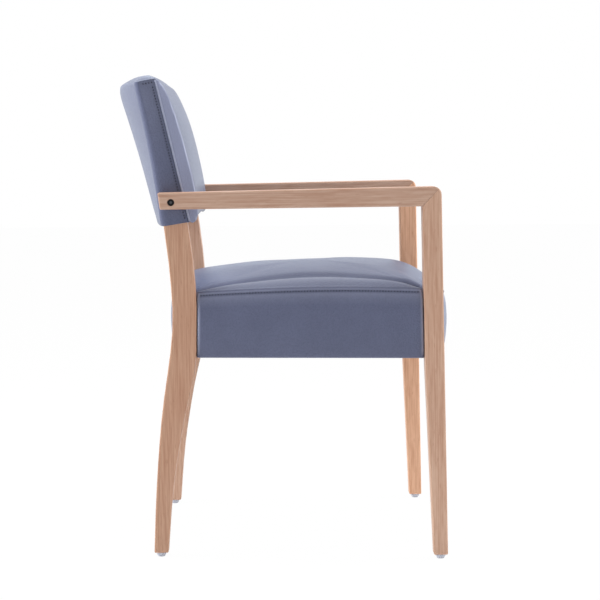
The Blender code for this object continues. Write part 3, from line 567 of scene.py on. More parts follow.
def seat_place(size, x, y):
    """Place on the seat's top: across and along it, inward of the side seam, and beside the fold."""
    y_front, y_rear = SEAT_LOW[1], SEAT_HIGH[1]
    middle = (y_front + y_rear) / 2
    side = seat_side(size, y) - (size.swell + size.shoulder)
    across = min(abs(x) / side, 1.0)
    bow = size.front_bow if y < middle else -size.rear_bow
    limit = (y_front if y < middle else y_rear) + bow * across ** 2
    along = min(max((y - middle) / abs(limit - middle), -1.0), 1.0)
    near, far = notch_depths(size.seam)
    t = (y - near) / (far - near)
    inside = smooth((t + FOLD_PAST) / FOLD_FADE) * smooth((1 + FOLD_PAST - t) / FOLD_FADE)
    t = min(max(t, 0.0), 1.0)
    ends = abs(2 * t - 1)
    fold = side - mix(LEG_IN, REAR_LEG_IN, t) + size.fold_bow * (1 - ends ** 2)
    return side, across, along, max(side - abs(x), 0.0), fold, inside, ends


def seat_top(size, x, y):
    """Height of the seat's top: side margins, a crown between them and the fold where they meet."""
    side, across, along, inward, fold, inside, ends = seat_place(size, x, y)
    edge = max(across, abs(along), 0.001)
    if across >= abs(along):
        t = 0.5 + 0.5 * along / edge
        seam = mix(size.seam, size.seam_rear, t) + size.seam_rise * math.sin(math.pi * t)
    elif along < 0:
        seam = size.seam - size.seam_dip * (1 - (across / edge) ** 2)
    else:
        seam = size.seam_rear
    crown = smooth((1 + along) / size.crown_front) * smooth((1 - along) / size.crown_rear)
    dip = max(-along - DIP_START, 0) / (1 - DIP_START)
    crown *= 1 - size.crown_fall * max(along, 0) ** FALL_BEND - size.crown_dip * dip
    lip = size.margin * quarter((1 - ends) / MARGIN_RUN) / (size.crown - seam)
    if inward < fold:
        rise = lip * (1 - (1 - inward / fold) ** MARGIN_BEND)
    else:
        rise = lip + (1 - lip) * (1 - (1 - (inward - fold) / (side - fold)) ** CROWN_BEND)
    high = mix(seam, size.crown, crown * rise)
    deep = size.fold * mix(*FOLD_DEPTHS, ends ** 4)
    wide = mix(*FOLD_WIDTHS, ends ** 2)
    return high - inside * deep * math.exp(-((inward - fold) / wide) ** 2)


def fold_shade(size, x, y):
    """How dark the painted shade in the fold of the seat's top is."""
    _, _, _, inward, fold, inside, ends = seat_place(size, x, y)
    beside = (inward - fold - SHADE_SHIFT * (1 - ends)) / mix(*SHADE_WIDTHS, ends ** 2)
    return inside * mix(*SHADE_WEIGHTS, ends ** 6) * math.exp(-beside ** 2)


WEIGHTS = ("seam", "painted_highlight", "held")


def blank():
    """An empty bmesh with the weights of its points: painted shade in seams and folds, painted highlight, held by
    the filling.
    """
    bm = bmesh.new()
    floats = bm.verts.layers.float
    for name in WEIGHTS:
        floats.new(name)
    return (bm, *(floats[name] for name in WEIGHTS))


def skin(bm, rings, seam):
    """Quads through rings of (points, seam weight); returns the rings as vertices."""
    loops = []
    for points, weight in rings:
        loop = [bm.verts.new(point) for point in points]
        for vertex in loop:
            vertex[seam] = weight
        loops.append(loop)
    for low, high in zip(loops, loops[1:]):
        for i, vertex in enumerate(low):
            bm.faces.new((low[i - 1], vertex, high[i], high[i - 1]))
    return loops


# Rings of the lip: share of the lip's width, inset past it and height over the base, in metres.
LIP_RINGS = ((1, 0.0006, 0.0034), (1, 0.0, 0.0002), (1, -0.004, 0.0), (0, 0.006, 0.0), (0, 0.0022, 0.0006),
             (0, 0.0005, 0.0026))
BORDER_SHARES = (0.10, 0.22, 0.36, 0.50, 0.64, 0.76, 0.86)
TOP_SHARES = (0.006, 0.014, 0.028, 0.045, 0.065, 0.085, 0.105, 0.125, 0.15, 0.175, 0.20, 0.225, 0.25, 0.275,
              0.30, 0.325, 0.35, 0.375, 0.40, 0.43, 0.47, 0.52, 0.58, 0.65, 0.73, 0.82, 0.91, 0.965)
# Weights of painted shade in a seam, faint and full.
FAINT_SEAM_SHADE, FULL_SEAM_SHADE = 0.15, 0.6
# Height at which the legs' notches are found for the lip, above the base.
LIP_NOTCH = 0.01
# Starts and runs: where the border stands off the legs, and where the top's rings turn to ovals.
NOTCH_EASE, OVAL_EASE = (0.90, 0.10), (0.40, 0.45)
# Share of the border's height over which it rolls in to its seam.
SHOULDER_RUN = 0.22


def seat_rings(size, sewing):
    """Rings of the seat cushion from under the lip, up the border, over the seam to the crown."""
    low = SEAT_LOW[2]
    rings = []
    for turned, more, rise in LIP_RINGS:
        outline = seat_outline(size, size.swell + (turned * size.lip + more), low + LIP_NOTCH)
        rings.append(([(x, y, low + rise) for x, y in outline], 0.0))

    def border(part, below=None, groove=0.0, weight=0.0):
        z = mix(low, size.seam, part)
        gap = size.notch_gap * ease(part, *NOTCH_EASE)
        inset = size.swell * (1 - math.sin(math.pi * part))
        inset += size.shoulder * (1 - quarter((1 - part) / SHOULDER_RUN))
        points = []
        for x, y in seat_outline(size, inset + groove, z, gap):
            top = seat_top(size, x, y)
            points.append((x, y, mix(low, top, part) if below is None else top - below))
        rings.append((points, weight))

    for part in BORDER_SHARES:
        border(part)
    # Share of the border's height, metres below the top, metres in, weight of painted seam shade.
    border(0.93, sewing.drop + 0.0040)
    border(0.96, sewing.drop, 0.0005)
    border(0.98, 0.0024, -0.0002)
    border(0.99, 0.0009, 0.0002, FAINT_SEAM_SHADE)
    border(1.0, 0.0004, sewing.groove, FULL_SEAM_SHADE)
    outline = seat_outline(size, size.swell + size.shoulder, size.seam, size.notch_gap)
    middle = (SEAT_LOW[1] + SEAT_HIGH[1]) / 2
    turns = [math.atan2(y - middle, x) for x, y in outline]
    ovals = [(size.half_rear * math.cos(a), middle + size.half_rear * math.sin(a)) for a in turns]
    for part in TOP_SHARES:
        calm = ease(part, *OVAL_EASE)
        shape = [(mix(x, u, calm), mix(y, v, calm)) for (x, y), (u, v) in zip(outline, ovals)]
        points = [(x * (1 - part), mix(y, middle, part)) for x, y in shape]
        rings.append(([(x, y, seat_top(size, x, y)) for x, y in points],
                      FAINT_SEAM_SHADE if part == TOP_SHARES[0] else 0.0))
    return rings


PUFF_FRAMES = 16
# Share of the way to the seat's middle up to which cloth alone moves the cover.
CALM_SHARE = 0.55


def puff(cushion, filling, rings=()):
    """Blow the cover up with cloth, hold it where the held weight says, and keep the capped result.

    The rings, from the outermost inwards, move as one towards their middle, where the mesh is too
    fine for cloth.
    """
    mesh = cushion.data
    group = cushion.vertex_groups.new(name="held")
    for index, held in enumerate(mesh.attributes["held"].data):
        group.add([index], held.value, 'REPLACE')
    cloth = cushion.modifiers.new("Puff", 'CLOTH')
    cover = cloth.settings
    cover.vertex_group_mass = group.name
    cover.use_pressure = True
    cover.uniform_pressure_force = filling.pressure
    cover.effector_weights.gravity = 0.0
    cover.quality = 6
    cover.tension_stiffness = cover.compression_stiffness = filling.stretch
    cover.shear_stiffness = filling.stretch / 2
    cover.bending_stiffness = filling.bend
    cover.air_damping = 2.0
    cloth.collision_settings.use_collision = False
    cloth.point_cache.frame_start, cloth.point_cache.frame_end = 1, PUFF_FRAMES
    for step in range(1, PUFF_FRAMES + 1):
        bpy.context.scene.frame_set(step)
    blown = cushion.evaluated_get(bpy.context.evaluated_depsgraph_get()).data
    moves = [end.co - start.co for start, end in zip(mesh.vertices, blown.vertices)]
    cushion.modifiers.remove(cloth)
    cushion.vertex_groups.remove(group)
    bpy.context.scene.frame_set(1)
    moves = [move * min(1.0, filling.cap / max(move.length, 1e-9)) for move in moves]
    outer = [moves[i] for i in rings[0]] if rings else []
    for step, ring in enumerate(rings):
        for i, move in zip(ring, outer):
            moves[i] = move.lerp(sum(outer, Vector()) / len(outer), smooth(step / (len(rings) - 1)))
    for vertex, move in zip(mesh.vertices, moves):
        vertex.co += move
    mesh.attributes.remove(mesh.attributes["held"])
    soften = cushion.modifiers.new("Soften", 'SUBSURF')
    soften.levels = soften.render_levels = 1


# Painted highlights: at the border's upright corners beside the legs, and on rings counted from the end of the
# border, where it rolls over to its seam.
CORNER_HIGHLIGHT = 0.40
BORDER_HIGHLIGHTS = ((-1, 0.06), (0, 0.13), (2, 0.21))
# How firmly the filling holds the border's panels.
BORDER_HELD = 0.4


def seat_cushion(scene, leatherette):
    """Lip, border and top of the seat in one skin, with its painted shade and painted highlights, blown up."""
    size, sewing = scene.armchair_seat, scene.armchair_sewing
    bm, seam, painted_highlight, held = blank()
    loops = skin(bm, seat_rings(size, sewing), seam)
    border_start, border_end = len(LIP_RINGS), len(LIP_RINGS) + len(BORDER_SHARES)
    corners = (FRONT_POINTS + 2 * NOTCH_POINTS, FRONT_POINTS + 2 * NOTCH_POINTS + SIDE_POINTS)
    # Painted highlights on the border's corners beside the legs and near its seam.
    for loop in loops[border_start:border_end + 3]:
        for i in (*corners, *(len(loop) - k for k in corners)):
            loop[i][painted_highlight] = CORNER_HIGHLIGHT
    for ring, weight in BORDER_HIGHLIGHTS:
        for vertex in loops[border_end + ring]:
            vertex[painted_highlight] = max(vertex[painted_highlight], weight)
    # Painted shade in the fold is kept in the seam weight of the top's rings.
    for loop in loops[-len(TOP_SHARES) + 1:]:
        for vertex in loop:
            vertex[seam] = fold_shade(size, vertex.co.x, vertex.co.y)
    bmesh.ops.triangulate(bm, faces=[bm.faces.new(loops[0])])
    # The middle of the top is closed by strips from side to side.
    last = loops[-1]
    for i in range(len(last) // 2):
        bm.faces.new(dict.fromkeys((last[i], last[i + 1], last[-i - 1], last[-i])))
    # Held at the seam, the fold, the base and the legs; free on the top, less so on the border.
    for vertex in bm.verts:
        vertex[held] = 1.0
    half = len(loops[0]) // 2
    side = range(corners[0] + 5, corners[1] - 4)
    panels = (*range(FRONT_POINTS - 2), *side, *range(half - REAR_POINTS + 3, half + 1))
    for loop in loops[border_start + 1:border_end - 1]:
        for i in panels:
            loop[i][held] = loop[-i][held] = BORDER_HELD
    for loop in loops[-len(TOP_SHARES) + 3:]:
        for vertex in loop:
            vertex[held] = min(vertex[seam], 1.0)
    cushion = put("seat_cushion", bm, leatherette)
    # Points are numbered ring by ring.
    count = len(loops[0])
    calm = len(loops) - len(TOP_SHARES) + sum(part < CALM_SHARE for part in TOP_SHARES)
    puff(cushion, scene.armchair_filling, [range(k * count, (k + 1) * count) for k in range(calm, len(loops))])
    return cushion


# Columns of the back in metres from its side, and further ones between them.
BACK_EDGE = (0.0, 0.0012, 0.0030, 0.0055, 0.0085, 0.0115, 0.0140, 0.0165, 0.0190, 0.0215, 0.0245, 0.0290, 0.0360,
             0.0460)
BACK_INNER = 18
BACK_ROWS = (0.0, 0.006, 0.016, 0.03, 0.05, 0.08, 0.12, 0.17, 0.23, 0.30, 0.37, 0.44, 0.51, 0.58, 0.65, 0.72, 0.79,
             0.85, 0.90, 0.935, 0.96, 0.978, 0.992, 1.0)
BAND_SHARES = (0.03, 0.08, 0.18, 0.32, 0.48, 0.64, 0.80, 0.92)
BACK_BAND = len(BAND_SHARES) + 1
# How far the front panel stands before its seam: share of the height, depth in metres.
FRONT_SWELL = ((0.0, 0.0), (0.010, 0.0045), (0.020, 0.0082), (0.035, 0.0120), (0.05, 0.0142), (0.075, 0.0160),
               (0.10, 0.0175), (0.15, 0.0196), (0.20, 0.0209), (0.30, 0.0216), (0.40, 0.0212), (0.50, 0.0203),
               (0.60, 0.0195), (0.70, 0.0182), (0.80, 0.0160), (0.85, 0.0146), (0.90, 0.0127), (0.94, 0.0102),
               (0.965, 0.0078), (0.985, 0.0047), (1.0, 0.0))
# Shares of the height: the rear panel's lower and upper roll, the front's nose and under roll, its top hollow.
ROLL_LOW, TOP_EDGE = 0.03, 0.12
NOSE_RUN, UNDER_RUN = 0.13, 0.06
HOLLOW_START, HOLLOW_RUN = 0.8, 0.2
# Metres: how far the rear panel rolls in at the bottom, and the run of the under roll from the side.
LOW_ROLL, UNDER_SIDE = 0.003, 0.010
# Share of the way from seam to ridge where the bevel starts to round off, and where it ends.
BEVEL_ROUND, BEVEL_END = 0.75, 1.25
# Bend of the under roll, its shares at the middle and the sides, and the rear edges' roll at the bottom and top.
UNDER_BEND = 0.7
UNDER_SHARES, REAR_SHARES = (0.15, 1.0), (1.0, 0.5)


def back_columns(half):
    """Places of the back's columns from +1 at one side to -1 at the other."""
    edge = [1 - d / half for d in BACK_EDGE]
    middle = [edge[-1] * (1 - 2 * i / BACK_INNER) for i in range(1, BACK_INNER)]
    return edge + middle + [-u for u in reversed(edge)]


def back_edge(size, part):
    """Depths of the rear edge and of the front seam of a side panel at a share of its height."""
    low, high = math.tan(size.lean_low), math.tan(size.lean_high)
    rise = part * (size.side_top - size.bottom)
    rear = size.rear_foot + low * rise + (high - low) * part * rise / 2
    return rear, rear - mix(size.deep_high, size.deep_low, (1 - part) ** 2)


def front_swell(size, u, part):
    """Depth of the front panel before its seam, with a fuller nose at the ends of its lower edge."""
    nose = size.nose * abs(u) ** 8 * math.sin(math.pi * min(part / NOSE_RUN, 1.0))
    for (low, a), (high, b) in zip(FRONT_SWELL, FRONT_SWELL[1:]):
        if part <= high:
            return mix(a, b, (part - low) / (high - low)) + nose
    return 0.0


def ridge_share(size, u, part):
    """Distance from the side seam as a share of the distance of the front panel's ridge."""
    return (1 - abs(u)) * size.half * size.bevel / max(front_swell(size, u, part), 0.0005)


def back_point(size, u, part, front):
    """Point of the back's front or rear panel."""
    rear, seam = back_edge(size, part)
    bowed = 1 - u * u
    inward = (1 - abs(u)) * size.half
    hang = 0.0
    if front:
        # A bevel from the seam to the ridge, rounded off into an almost flat face.
        t = min(ridge_share(size, u, part), BEVEL_END)
        t -= max(t - BEVEL_ROUND, 0) ** 2
        hollow = size.front_sag * max((part - HOLLOW_START) / HOLLOW_RUN, 0) ** 2
        y = seam + (hollow - size.front_bow) * bowed
        y -= front_swell(size, u, part) * t
        arch = size.arch
        hang = size.under_roll * math.sin(math.pi * min(part / UNDER_RUN, 1.0)) ** UNDER_BEND if part else 0.0
        hang *= quarter(inward / UNDER_SIDE) * mix(*UNDER_SHARES, u ** 8)
    else:
        side_in = mix(*REAR_SHARES, part) * (1 - quarter(inward / size.round_rear))
        edge_in = 1 - quarter((1 - part) / TOP_EDGE)
        low_in = 1 - quarter(part / ROLL_LOW)
        y = rear + mix(size.sag_low, size.sag_high, part) * bowed - size.round_rear * side_in - LOW_ROLL * low_in
        y -= size.round_top * edge_in * (1 - u ** 6)
        arch = size.rear_arch
    top = size.side_top + arch * bowed
    return Vector((size.half * u, y, mix(size.bottom, top, part) - math.tan(size.tilt) * (y - seam) - hang))


# Metres that the top and under bands and the side panels swell, and how steeply they do so from their ends.
BAND_SWELL, BAND_STEEP = 0.0040, 12
SIDE_SWELL, SIDE_STEEP = 0.0016, 8
# Weight of painted shade beside the back's seams.
BESIDE_SEAM_SHADE = 0.8
# Painted highlights: on the ridge, with its width as a share, on the bevel, and on the side panel's upper end.
RIDGE_HIGHLIGHT, RIDGE_WIDE = 0.70, 0.07
BEVEL_HIGHLIGHT, SIDE_HIGHLIGHT = 0.14, 0.07
# Starts and runs of these painted highlights: the bevel's as a share of the ridge, the side panel's as a share of
# its height.
BEVEL_EASE, SIDE_EASE = (0.8, 0.3), (0.35, 0.6)
# Shares of the height between which the filling may swell, and starts and runs beside the ridge and rear edges.
FREE_LOW, FREE_HIGH = 0.06, 0.95
RIDGE_FREE, REAR_HELD = (1.1, 0.8), (0.85, 0.1)
# Share of the groove's depth by which the seam also lies back.
GROOVE_BACK = 0.7


def back_cushion(scene, leatherette):
    """Front panel, top band, rear panel and under band in one skin, closed by the side panels, blown up."""
    size, sewing = scene.armchair_back, scene.armchair_sewing
    bm, seam, painted_highlight, held = blank()
    columns = back_columns(size.half)
    rings = []
    for u in columns:
        front = [back_point(size, u, part, True) for part in BACK_ROWS]
        rear = [back_point(size, u, part, False) for part in reversed(BACK_ROWS)]
        over, under = [], []
        for t, back in zip(BAND_SHARES, reversed(BAND_SHARES)):
            swell = Vector((0, 0, BAND_SWELL * math.sin(math.pi * t) * min((1 - abs(u)) * BAND_STEEP, 1)))
            over.append(front[-1].lerp(rear[0], t) + swell)
            under.append(rear[-1].lerp(front[0], 1 - back) - swell)
        rings.append((front + over + rear + under, 0.0))
    loops = skin(bm, rings, seam)
    rows = len(BACK_ROWS)
    # Painted shade in the front panel's lower and upper seams, and painted highlights on its ridge and bevel.
    for u, loop in zip(columns, loops):
        loop[0][seam] = loop[rows - 1][seam] = FULL_SEAM_SHADE
        for vertex, part in zip(loop, BACK_ROWS):
            reach = ridge_share(size, u, part)
            vertex[painted_highlight] = max(RIDGE_HIGHLIGHT * math.exp(-((reach - 1.0) / RIDGE_WIDE) ** 2),
                              BEVEL_HIGHLIGHT * (1 - ease(reach, *BEVEL_EASE)))
    # Painted shade beside the side seams.
    for loop in (loops[1], loops[-2]):
        for vertex in loop[:rows]:
            vertex[seam] = BESIDE_SEAM_SHADE
    for loop, side in ((loops[0], 1), (loops[-1], -1)):
        front = loop[:rows]
        over = loop[rows:rows + BACK_BAND - 1]
        rear = list(reversed(loop[rows + BACK_BAND - 1:2 * rows + BACK_BAND - 1]))
        under = list(reversed(loop[2 * rows + BACK_BAND - 1:]))
        # Painted shade along the front seam and the top band's edge.
        for vertex in front + over:
            vertex[seam] = 1.0
        # The seam lies in a groove beside the welt.
        for vertex in front[1:-1]:
            vertex.co += Vector((-side * sewing.groove, GROOVE_BACK * sewing.groove, 0))
        grid = [[front[0], *under, rear[0]]]
        for part, a, b in list(zip(BACK_ROWS, front, rear))[1:-1]:
            line = [a]
            for t in BAND_SHARES:
                point = a.co.lerp(b.co, t)
                point.x += (side * SIDE_SWELL * math.sin(math.pi * t) * smooth(part * SIDE_STEEP)
                            * smooth((1 - part) * SIDE_STEEP))
                line.append(bm.verts.new(point))
                # Painted shade beside the seam, and painted light rising up the side panel.
                line[-1][seam] = BESIDE_SEAM_SHADE if t == BAND_SHARES[0] else 0.0
                line[-1][painted_highlight] = SIDE_HIGHLIGHT * ease(part, *SIDE_EASE)
            grid.append(line + [b])
        grid.append([front[-1], *over, rear[-1]])
        for a, b in zip(grid, grid[1:]):
            for i in range(BACK_BAND):
                bm.faces.new((a[i], a[i + 1], b[i + 1], b[i]))
    # Held at the seams and the ridge; free on the front and rear panels.
    for vertex in bm.verts:
        vertex[held] = 1.0
    for u, loop in zip(columns, loops):
        for k, part in enumerate(BACK_ROWS):
            if FREE_LOW < part < FREE_HIGH:
                loop[k][held] = 1 - ease(ridge_share(size, u, part), *RIDGE_FREE)
                loop[-BACK_BAND - k][held] = ease(abs(u), *REAR_HELD)
    cushion = put("back_cushion", bm, leatherette)
    puff(cushion, scene.armchair_filling)
    return cushion


def spaced(path, pitch):
    """Points at an even pitch along a path of vectors."""
    points, left = [path[0].copy()], pitch
    for a, b in zip(path, path[1:]):
        span = (b - a).length
        at = left
        while at <= span:
            points.append(a.lerp(b, at / span))
            at += pitch
        left = at - span
    return points


def stitch_shape(sewing):
    """One stitch: a short rounded bead of thread."""
    bm = bmesh.new()
    size = Matrix.Diagonal((sewing.long / 2, sewing.wide / 2, sewing.wide / 2, 1))
    bmesh.ops.create_uvsphere(bm, u_segments=6, v_segments=4, radius=1.0, matrix=size)
    points = [vertex.co.copy() for vertex in bm.verts]
    faces = [[vertex.index for vertex in face.verts] for face in bm.faces]
    bm.free()
    return points, faces


def drawn(mesh):
    """A bmesh that takes the place of a mesh."""
    bm = bmesh.new()
    bm.from_mesh(mesh)
    bpy.data.meshes.remove(mesh)
    return bm


# Metres that a stitch's middle lies above the cover.
STITCH_LIFT = 0.0005


def sew(name, paths, surface, sewing, material):
    """Rows of stitches lying on a surface along paths."""
    bead, sides = stitch_shape(sewing)
    points, faces = [], []
    for path in paths:
        row = spaced(path, sewing.pitch)
        for a, b in zip(row, row[1:]):
            place, normal, _, _ = surface.find_nearest((a + b) / 2)
            along = (b - a).normalized()
            aside = normal.cross(along).normalized()
            turn = Matrix((along, aside, along.cross(aside))).transposed()
            faces += [[len(points) + i for i in side] for side in sides]
            points += [place + normal * STITCH_LIFT + turn @ point for point in bead]
    mesh = bpy.data.meshes.new(name)
    mesh.from_pydata(points, [], faces)
    return put(name, drawn(mesh), material)


# Painted highlight along the welt.
WELT_HIGHLIGHT = 0.35


def welt(name, paths, radius, material):
    """Round welts along paths, as a mesh, with a painted highlight."""
    line = bpy.data.curves.new(name, 'CURVE')
    line.dimensions = '3D'
    line.bevel_depth = radius
    line.bevel_resolution = 2
    line.use_fill_caps = True
    for path in paths:
        spline = line.splines.new('POLY')
        spline.points.add(len(path) - 1)
        for point, place in zip(spline.points, path):
            point.co = (*place, 1.0)
    holder = bpy.data.objects.new(name, line)
    bpy.context.scene.collection.objects.link(holder)
    bpy.context.view_layer.update()
    made = bpy.data.meshes.new_from_object(holder.evaluated_get(bpy.context.evaluated_depsgraph_get()))
    bpy.data.objects.remove(holder)
    bm = drawn(made)
    painted_highlight = bm.verts.layers.float.new("painted_highlight")
    for vertex in bm.verts:
        vertex[painted_highlight] = WELT_HIGHLIGHT
    return put(name, bm, material)


def seat_stitch_paths(size, sewing):
    """Stitch rows round the seat's border, broken at the legs."""
    outline = seat_outline(size, size.swell + size.shoulder, size.seam)
    half = len(outline) // 2
    start = FRONT_POINTS + 2 * NOTCH_POINTS
    runs = [range(start + 1, start + SIDE_POINTS), range(-FRONT_POINTS + 1, FRONT_POINTS),
            range(half - REAR_POINTS + 1, half + REAR_POINTS)]
    runs.append([(-i) % len(outline) for i in runs[0]])
    return [[Vector((x, y, seat_top(size, x, y) - sewing.drop)) for x, y in (outline[i] for i in run)]
            for run in runs]


# Ends of the back's stitch rows and seam, as shares of the height, and the place and ends of its top row.
COLUMN_RUN, SEAM_RUN = (0.02, 0.965), (0.004, 0.992)
TOP_ROW, TOP_RUN = 0.978, (0.16, 0.98)
COLUMN_STEPS, SEAM_STEPS, TOP_STEPS = 40, 60, 12
# Metres that the welt stands out from the seam, to the side and to the rear.
WELT_OUT = (0.0008, 0.0004)


def even(run, steps):
    """Evenly spaced values from one end of a run to the other."""
    return [mix(*run, i / steps) for i in range(steps + 1)]


def back_stitch_paths(size, sewing):
    """Stitch rows on the back's side panels, along the front seam and the top."""
    paths = []
    for side in (1, -1):
        column = []
        for part in even(COLUMN_RUN, COLUMN_STEPS):
            front, rear = back_point(size, side, part, True), back_point(size, side, part, False)
            column.append(front.lerp(rear, sewing.set_back / (rear.y - front.y)))
        front, rear = back_point(size, side, TOP_ROW, True), back_point(size, side, TOP_ROW, False)
        paths += [column, [front.lerp(rear, t) for t in even(TOP_RUN, TOP_STEPS)]]
    return paths


def back_seam_path(size, side):
    """One side of the back's front seam, just proud of the side panel."""
    out = Vector((side * WELT_OUT[0], WELT_OUT[1], 0))
    return [back_point(size, side, part, True) + out for part in even(SEAM_RUN, SEAM_STEPS)]


def dress(obj, *nodes):
    """Join a soft piece to the chair."""
    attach(obj, BODY)
    if nodes:
        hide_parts(*nodes)


def paint(material, *starts):
    """Give a material to the CAD nodes whose names start so."""
    for name, obj in NODES.items():
        if name.startswith(starts):
            obj.data.materials.clear()
            obj.data.materials.append(material)


class ARMCHAIR_OT_seat(bpy.types.Operator):
    """Make the seat cushion"""
    bl_idname = "armchair.seat"
    bl_label = "Seat cushion"

    def execute(self, context):
        cushion = seat_cushion(context.scene, bpy.data.materials["grained_leatherette"])
        dress(cushion, "seat_cover", "seat_foam")
        return {'FINISHED'}


class ARMCHAIR_OT_back(bpy.types.Operator):
    """Make the back cushion"""
    bl_idname = "armchair.back"
    bl_label = "Back cushion"

    def execute(self, context):
        cushion = back_cushion(context.scene, bpy.data.materials["grained_leatherette"])
        dress(cushion, "back_cover", "back_foam")
        return {'FINISHED'}


class ARMCHAIR_OT_sewing(bpy.types.Operator):
    """Sew the stitch rows and lay the welt in the back's front seam"""
    bl_idname = "armchair.sewing"
    bl_label = "Stitches and welt"

    def execute(self, context):
        scene = context.scene
        sewing = scene.armchair_sewing
        thread = bpy.data.materials["polyester_thread"]
        # The seat is sewn on its upright border, the back on its side panels.
        rows = (("seat", seat_stitch_paths(scene.armchair_seat, sewing), (2, -1.0, 0.8)),
                ("back", back_stitch_paths(scene.armchair_back, sewing), (0, 0.6, 1.0)))
        for name, paths, faces in rows:
            surface = sewn_faces(bpy.data.objects[name + "_cushion"], *faces)
            dress(sew(name + "_stitches", paths, surface, sewing, thread))
        paths = [back_seam_path(scene.armchair_back, side) for side in (1, -1)]
        dress(welt("back_welt", paths, sewing.welt, bpy.data.materials["grained_leatherette"]))
        return {'FINISHED'}


PLAIN = (1.0, 1.0, 1.0)
# Boards differ a little in colour, as sawn beech does, and the far legs on the left are lightened and warmed as
# painted light: name, grain, shift of the grain in metres, colour factors, nodes.
BOARDS = (
    ("front_right", 'Z', 0.0, PLAIN, ("front_leg_right", "corner_block")),
    # Painted light: the far front leg lightened and warmed.
    ("front_left", 'Z', 0.21, (1.27, 1.14, 1.00), ("front_leg_left",)),
    ("rear_right", 'Z', 0.53, (0.90, 0.83, 0.77), ("rear_leg_right",)),
    # Painted light: the far rear leg lightened.
    ("rear_left", 'Z', 0.84, (1.10, 1.10, 1.10), ("rear_leg_left",)),
    ("sides", 'Y', 0.37, (0.91, 0.94, 0.98), ("arm_left", "arm_right", "seat_rail_left", "seat_rail_right")),
    ("cross", 'X', 0.71, PLAIN, ("seat_rail_front", "seat_rail_rear", "mitre_dowel", "rail_dowel", "back_dowel")),
)


class ARMCHAIR_OT_timber(bpy.types.Operator):
    """Finish the beech frame and the boards"""
    bl_idname = "armchair.timber"
    bl_label = "Timber finish"

    def execute(self, context):
        colours = context.scene.armchair_finish
        for name, grain, shift, tone_and_light, nodes in BOARDS:
            paint(lacquered_beech(colours, name, grain, shift, tone_and_light), *nodes)
        paint(birch_plywood(colours), "seat_board", "back_board")
        return {'FINISHED'}


class ARMCHAIR_OT_fittings(bpy.types.Operator):
    """Finish the glides, bolts, pins, screws and dust cover"""
    bl_idname = "armchair.fittings"
    bl_label = "Fittings"

    def execute(self, context):
        colours = context.scene.armchair_finish
        low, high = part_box("arm_bolt_left")
        paint(zinc_plated_steel(colours), "glide_pin", "seat_screw", "leg_insert")
        paint(moulded_nylon(colours), "glide_front", "glide_rear")
        paint(black_oxide_steel(colours, (low[1] + high[1]) / 2, (low[2] + high[2]) / 2), "arm_bolt")
        paint(spunbond_nonwoven(colours), "dust_cover")
        return {'FINISHED'}


class ARMCHAIR_OT_covers(bpy.types.Operator):
    """Make the cover and thread materials"""
    bl_idname = "armchair.covers"
    bl_label = "Cover and thread"

    def execute(self, context):
        grained_leatherette(context.scene.armchair_finish)
        sewing_thread(context.scene.armchair_finish)
        return {'FINISHED'}


# Softboxes: name, place, target, width and height in metres, power in watts.
LAMPS = (
    ("front_softbox", (0.0, -2.8, 1.7), (0, 0, 0.5), 1.8, 1.8, 79.0),
    ("rear_softbox", (-0.1, 2.7, 1.6), (0, 0, 0.6), 1.8, 1.8, 116.0),
    ("top_softbox", (0.2, -0.2, 3.0), (0, 0, 0.4), 2.0, 2.0, 58.0),
    ("near_fill", (-2.4, -2.2, 1.5), (0, 0, 0.6), 1.6, 1.6, 9.5),
)
# Metres from the middle of the floor to its edge, and the furthest that the camera sees.
FLOOR_REACH, SIGHT = 12.0, 60.0
# Width of the camera's sensor in millimetres.
SENSOR = 36.0


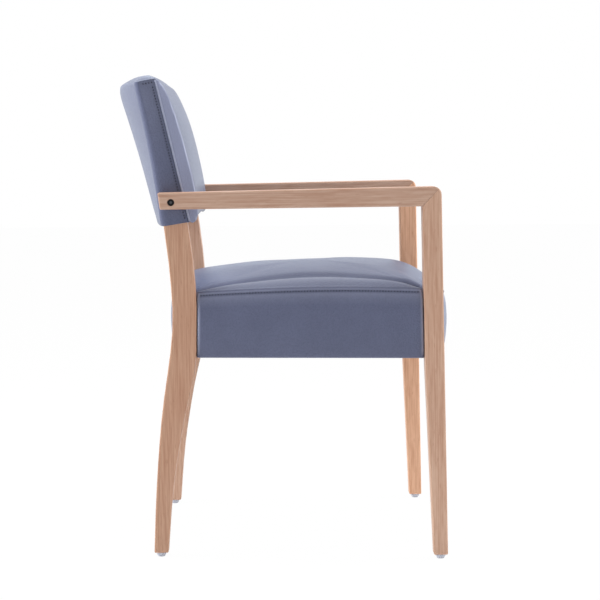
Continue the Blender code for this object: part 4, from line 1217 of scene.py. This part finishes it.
class ARMCHAIR_OT_stage(bpy.types.Operator):
    """Set the floor, lamps, white room and camera"""
    bl_idname = "armchair.stage"
    bl_label = "Stage"

    def execute(self, context):
        scene = context.scene
        stage = scene.armchair_stage
        bm = bmesh.new()
        bmesh.ops.create_grid(bm, x_segments=4, y_segments=4, size=FLOOR_REACH)
        floor = put("studio_floor", bm, studio_floor(stage))
        for name, place, target, wide, high, power in LAMPS:
            light = bpy.data.lights.new(name, 'AREA')
            light.shape = 'RECTANGLE'
            light.size, light.size_y, light.energy = wide, high, power
            lamp = bpy.data.objects.new(name, light)
            lamp.location = place
            lamp.rotation_euler = (Vector(target) - Vector(place)).to_track_quat('-Z', 'Y').to_euler()
            # The lamps light the chair without a mirrored glare on the lacquer and the covers.
            lamp.visible_camera = lamp.visible_glossy = False
            scene.collection.objects.link(lamp)

        world = bpy.data.worlds.new("white_room")
        scene.world = world
        world.use_nodes = True
        tree = world.node_tree
        backdrop = tree.nodes["Background"]
        backdrop.inputs["Color"].default_value = (1, 1, 1, 1)
        # White where it shows, dimmer where it lights.
        plug(tree, backdrop, {"Strength": ramp(tree, seen_rays(tree), 0.0, 1.0, stage.ambient, 1.0)})

        data = bpy.data.cameras.new("camera")
        data.lens, data.sensor_width, data.sensor_fit = stage.lens, SENSOR, 'HORIZONTAL'
        data.clip_end = SIGHT
        camera = bpy.data.objects.new("camera", data)
        yaw, pitch, roll = stage.yaw, stage.pitch, stage.roll
        ahead = Vector((math.cos(yaw) * math.cos(pitch), -math.sin(yaw) * math.cos(pitch), -math.sin(pitch)))
        level = Vector((-math.sin(yaw), -math.cos(yaw), 0))
        rise = level.cross(ahead)
        right = level * math.cos(roll) + rise * math.sin(roll)
        up = rise * math.cos(roll) - level * math.sin(roll)
        turn = Matrix((right, up, -ahead)).transposed().to_4x4()
        camera.matrix_world = Matrix.Translation(stage.camera_at) @ turn
        scene.collection.objects.link(camera)
        scene.camera = camera
        scene.view_settings.view_transform = 'Standard'
        return {'FINISHED'}


class ARMCHAIR_PT_panel(bpy.types.Panel):
    """Sizes, colours and steps of the armchair"""
    bl_idname = "ARMCHAIR_PT_panel"
    bl_label = "Dining armchair"
    bl_space_type = 'VIEW_3D'
    bl_region_type = 'UI'
    bl_category = "Armchair"

    def draw(self, context):
        for group in GROUPS:
            values = getattr(context.scene, group)
            box = self.layout.box()
            for name in values.bl_rna.properties.keys():
                if name not in ("rna_type", "name"):
                    box.prop(values, name)
        for step in STEPS:
            self.layout.operator(step.bl_idname)


GROUPS = {
    "armchair_seat": ArmchairSeat,
    "armchair_back": ArmchairBack,
    "armchair_filling": ArmchairFilling,
    "armchair_sewing": ArmchairSewing,
    "armchair_finish": ArmchairFinish,
    "armchair_stage": ArmchairStage,
}
STEPS = (ARMCHAIR_OT_stage, ARMCHAIR_OT_covers, ARMCHAIR_OT_seat, ARMCHAIR_OT_back, ARMCHAIR_OT_sewing,
         ARMCHAIR_OT_timber, ARMCHAIR_OT_fittings)


def register():
    for kind in (*GROUPS.values(), *STEPS, ARMCHAIR_PT_panel):
        bpy.utils.register_class(kind)
    for name, group in GROUPS.items():
        setattr(bpy.types.Scene, name, PointerProperty(type=group))


def unregister():
    for name in GROUPS:
        delattr(bpy.types.Scene, name)
    for kind in (ARMCHAIR_PT_panel, *reversed(STEPS), *reversed(list(GROUPS.values()))):
        bpy.utils.unregister_class(kind)


def main():
    register()
    bpy.ops.armchair.stage()
    bpy.ops.armchair.covers()
    bpy.ops.armchair.seat()
    bpy.ops.armchair.back()
    bpy.ops.armchair.sewing()
    bpy.ops.armchair.timber()
    bpy.ops.armchair.fittings()


if __name__ == "__main__":
    main()
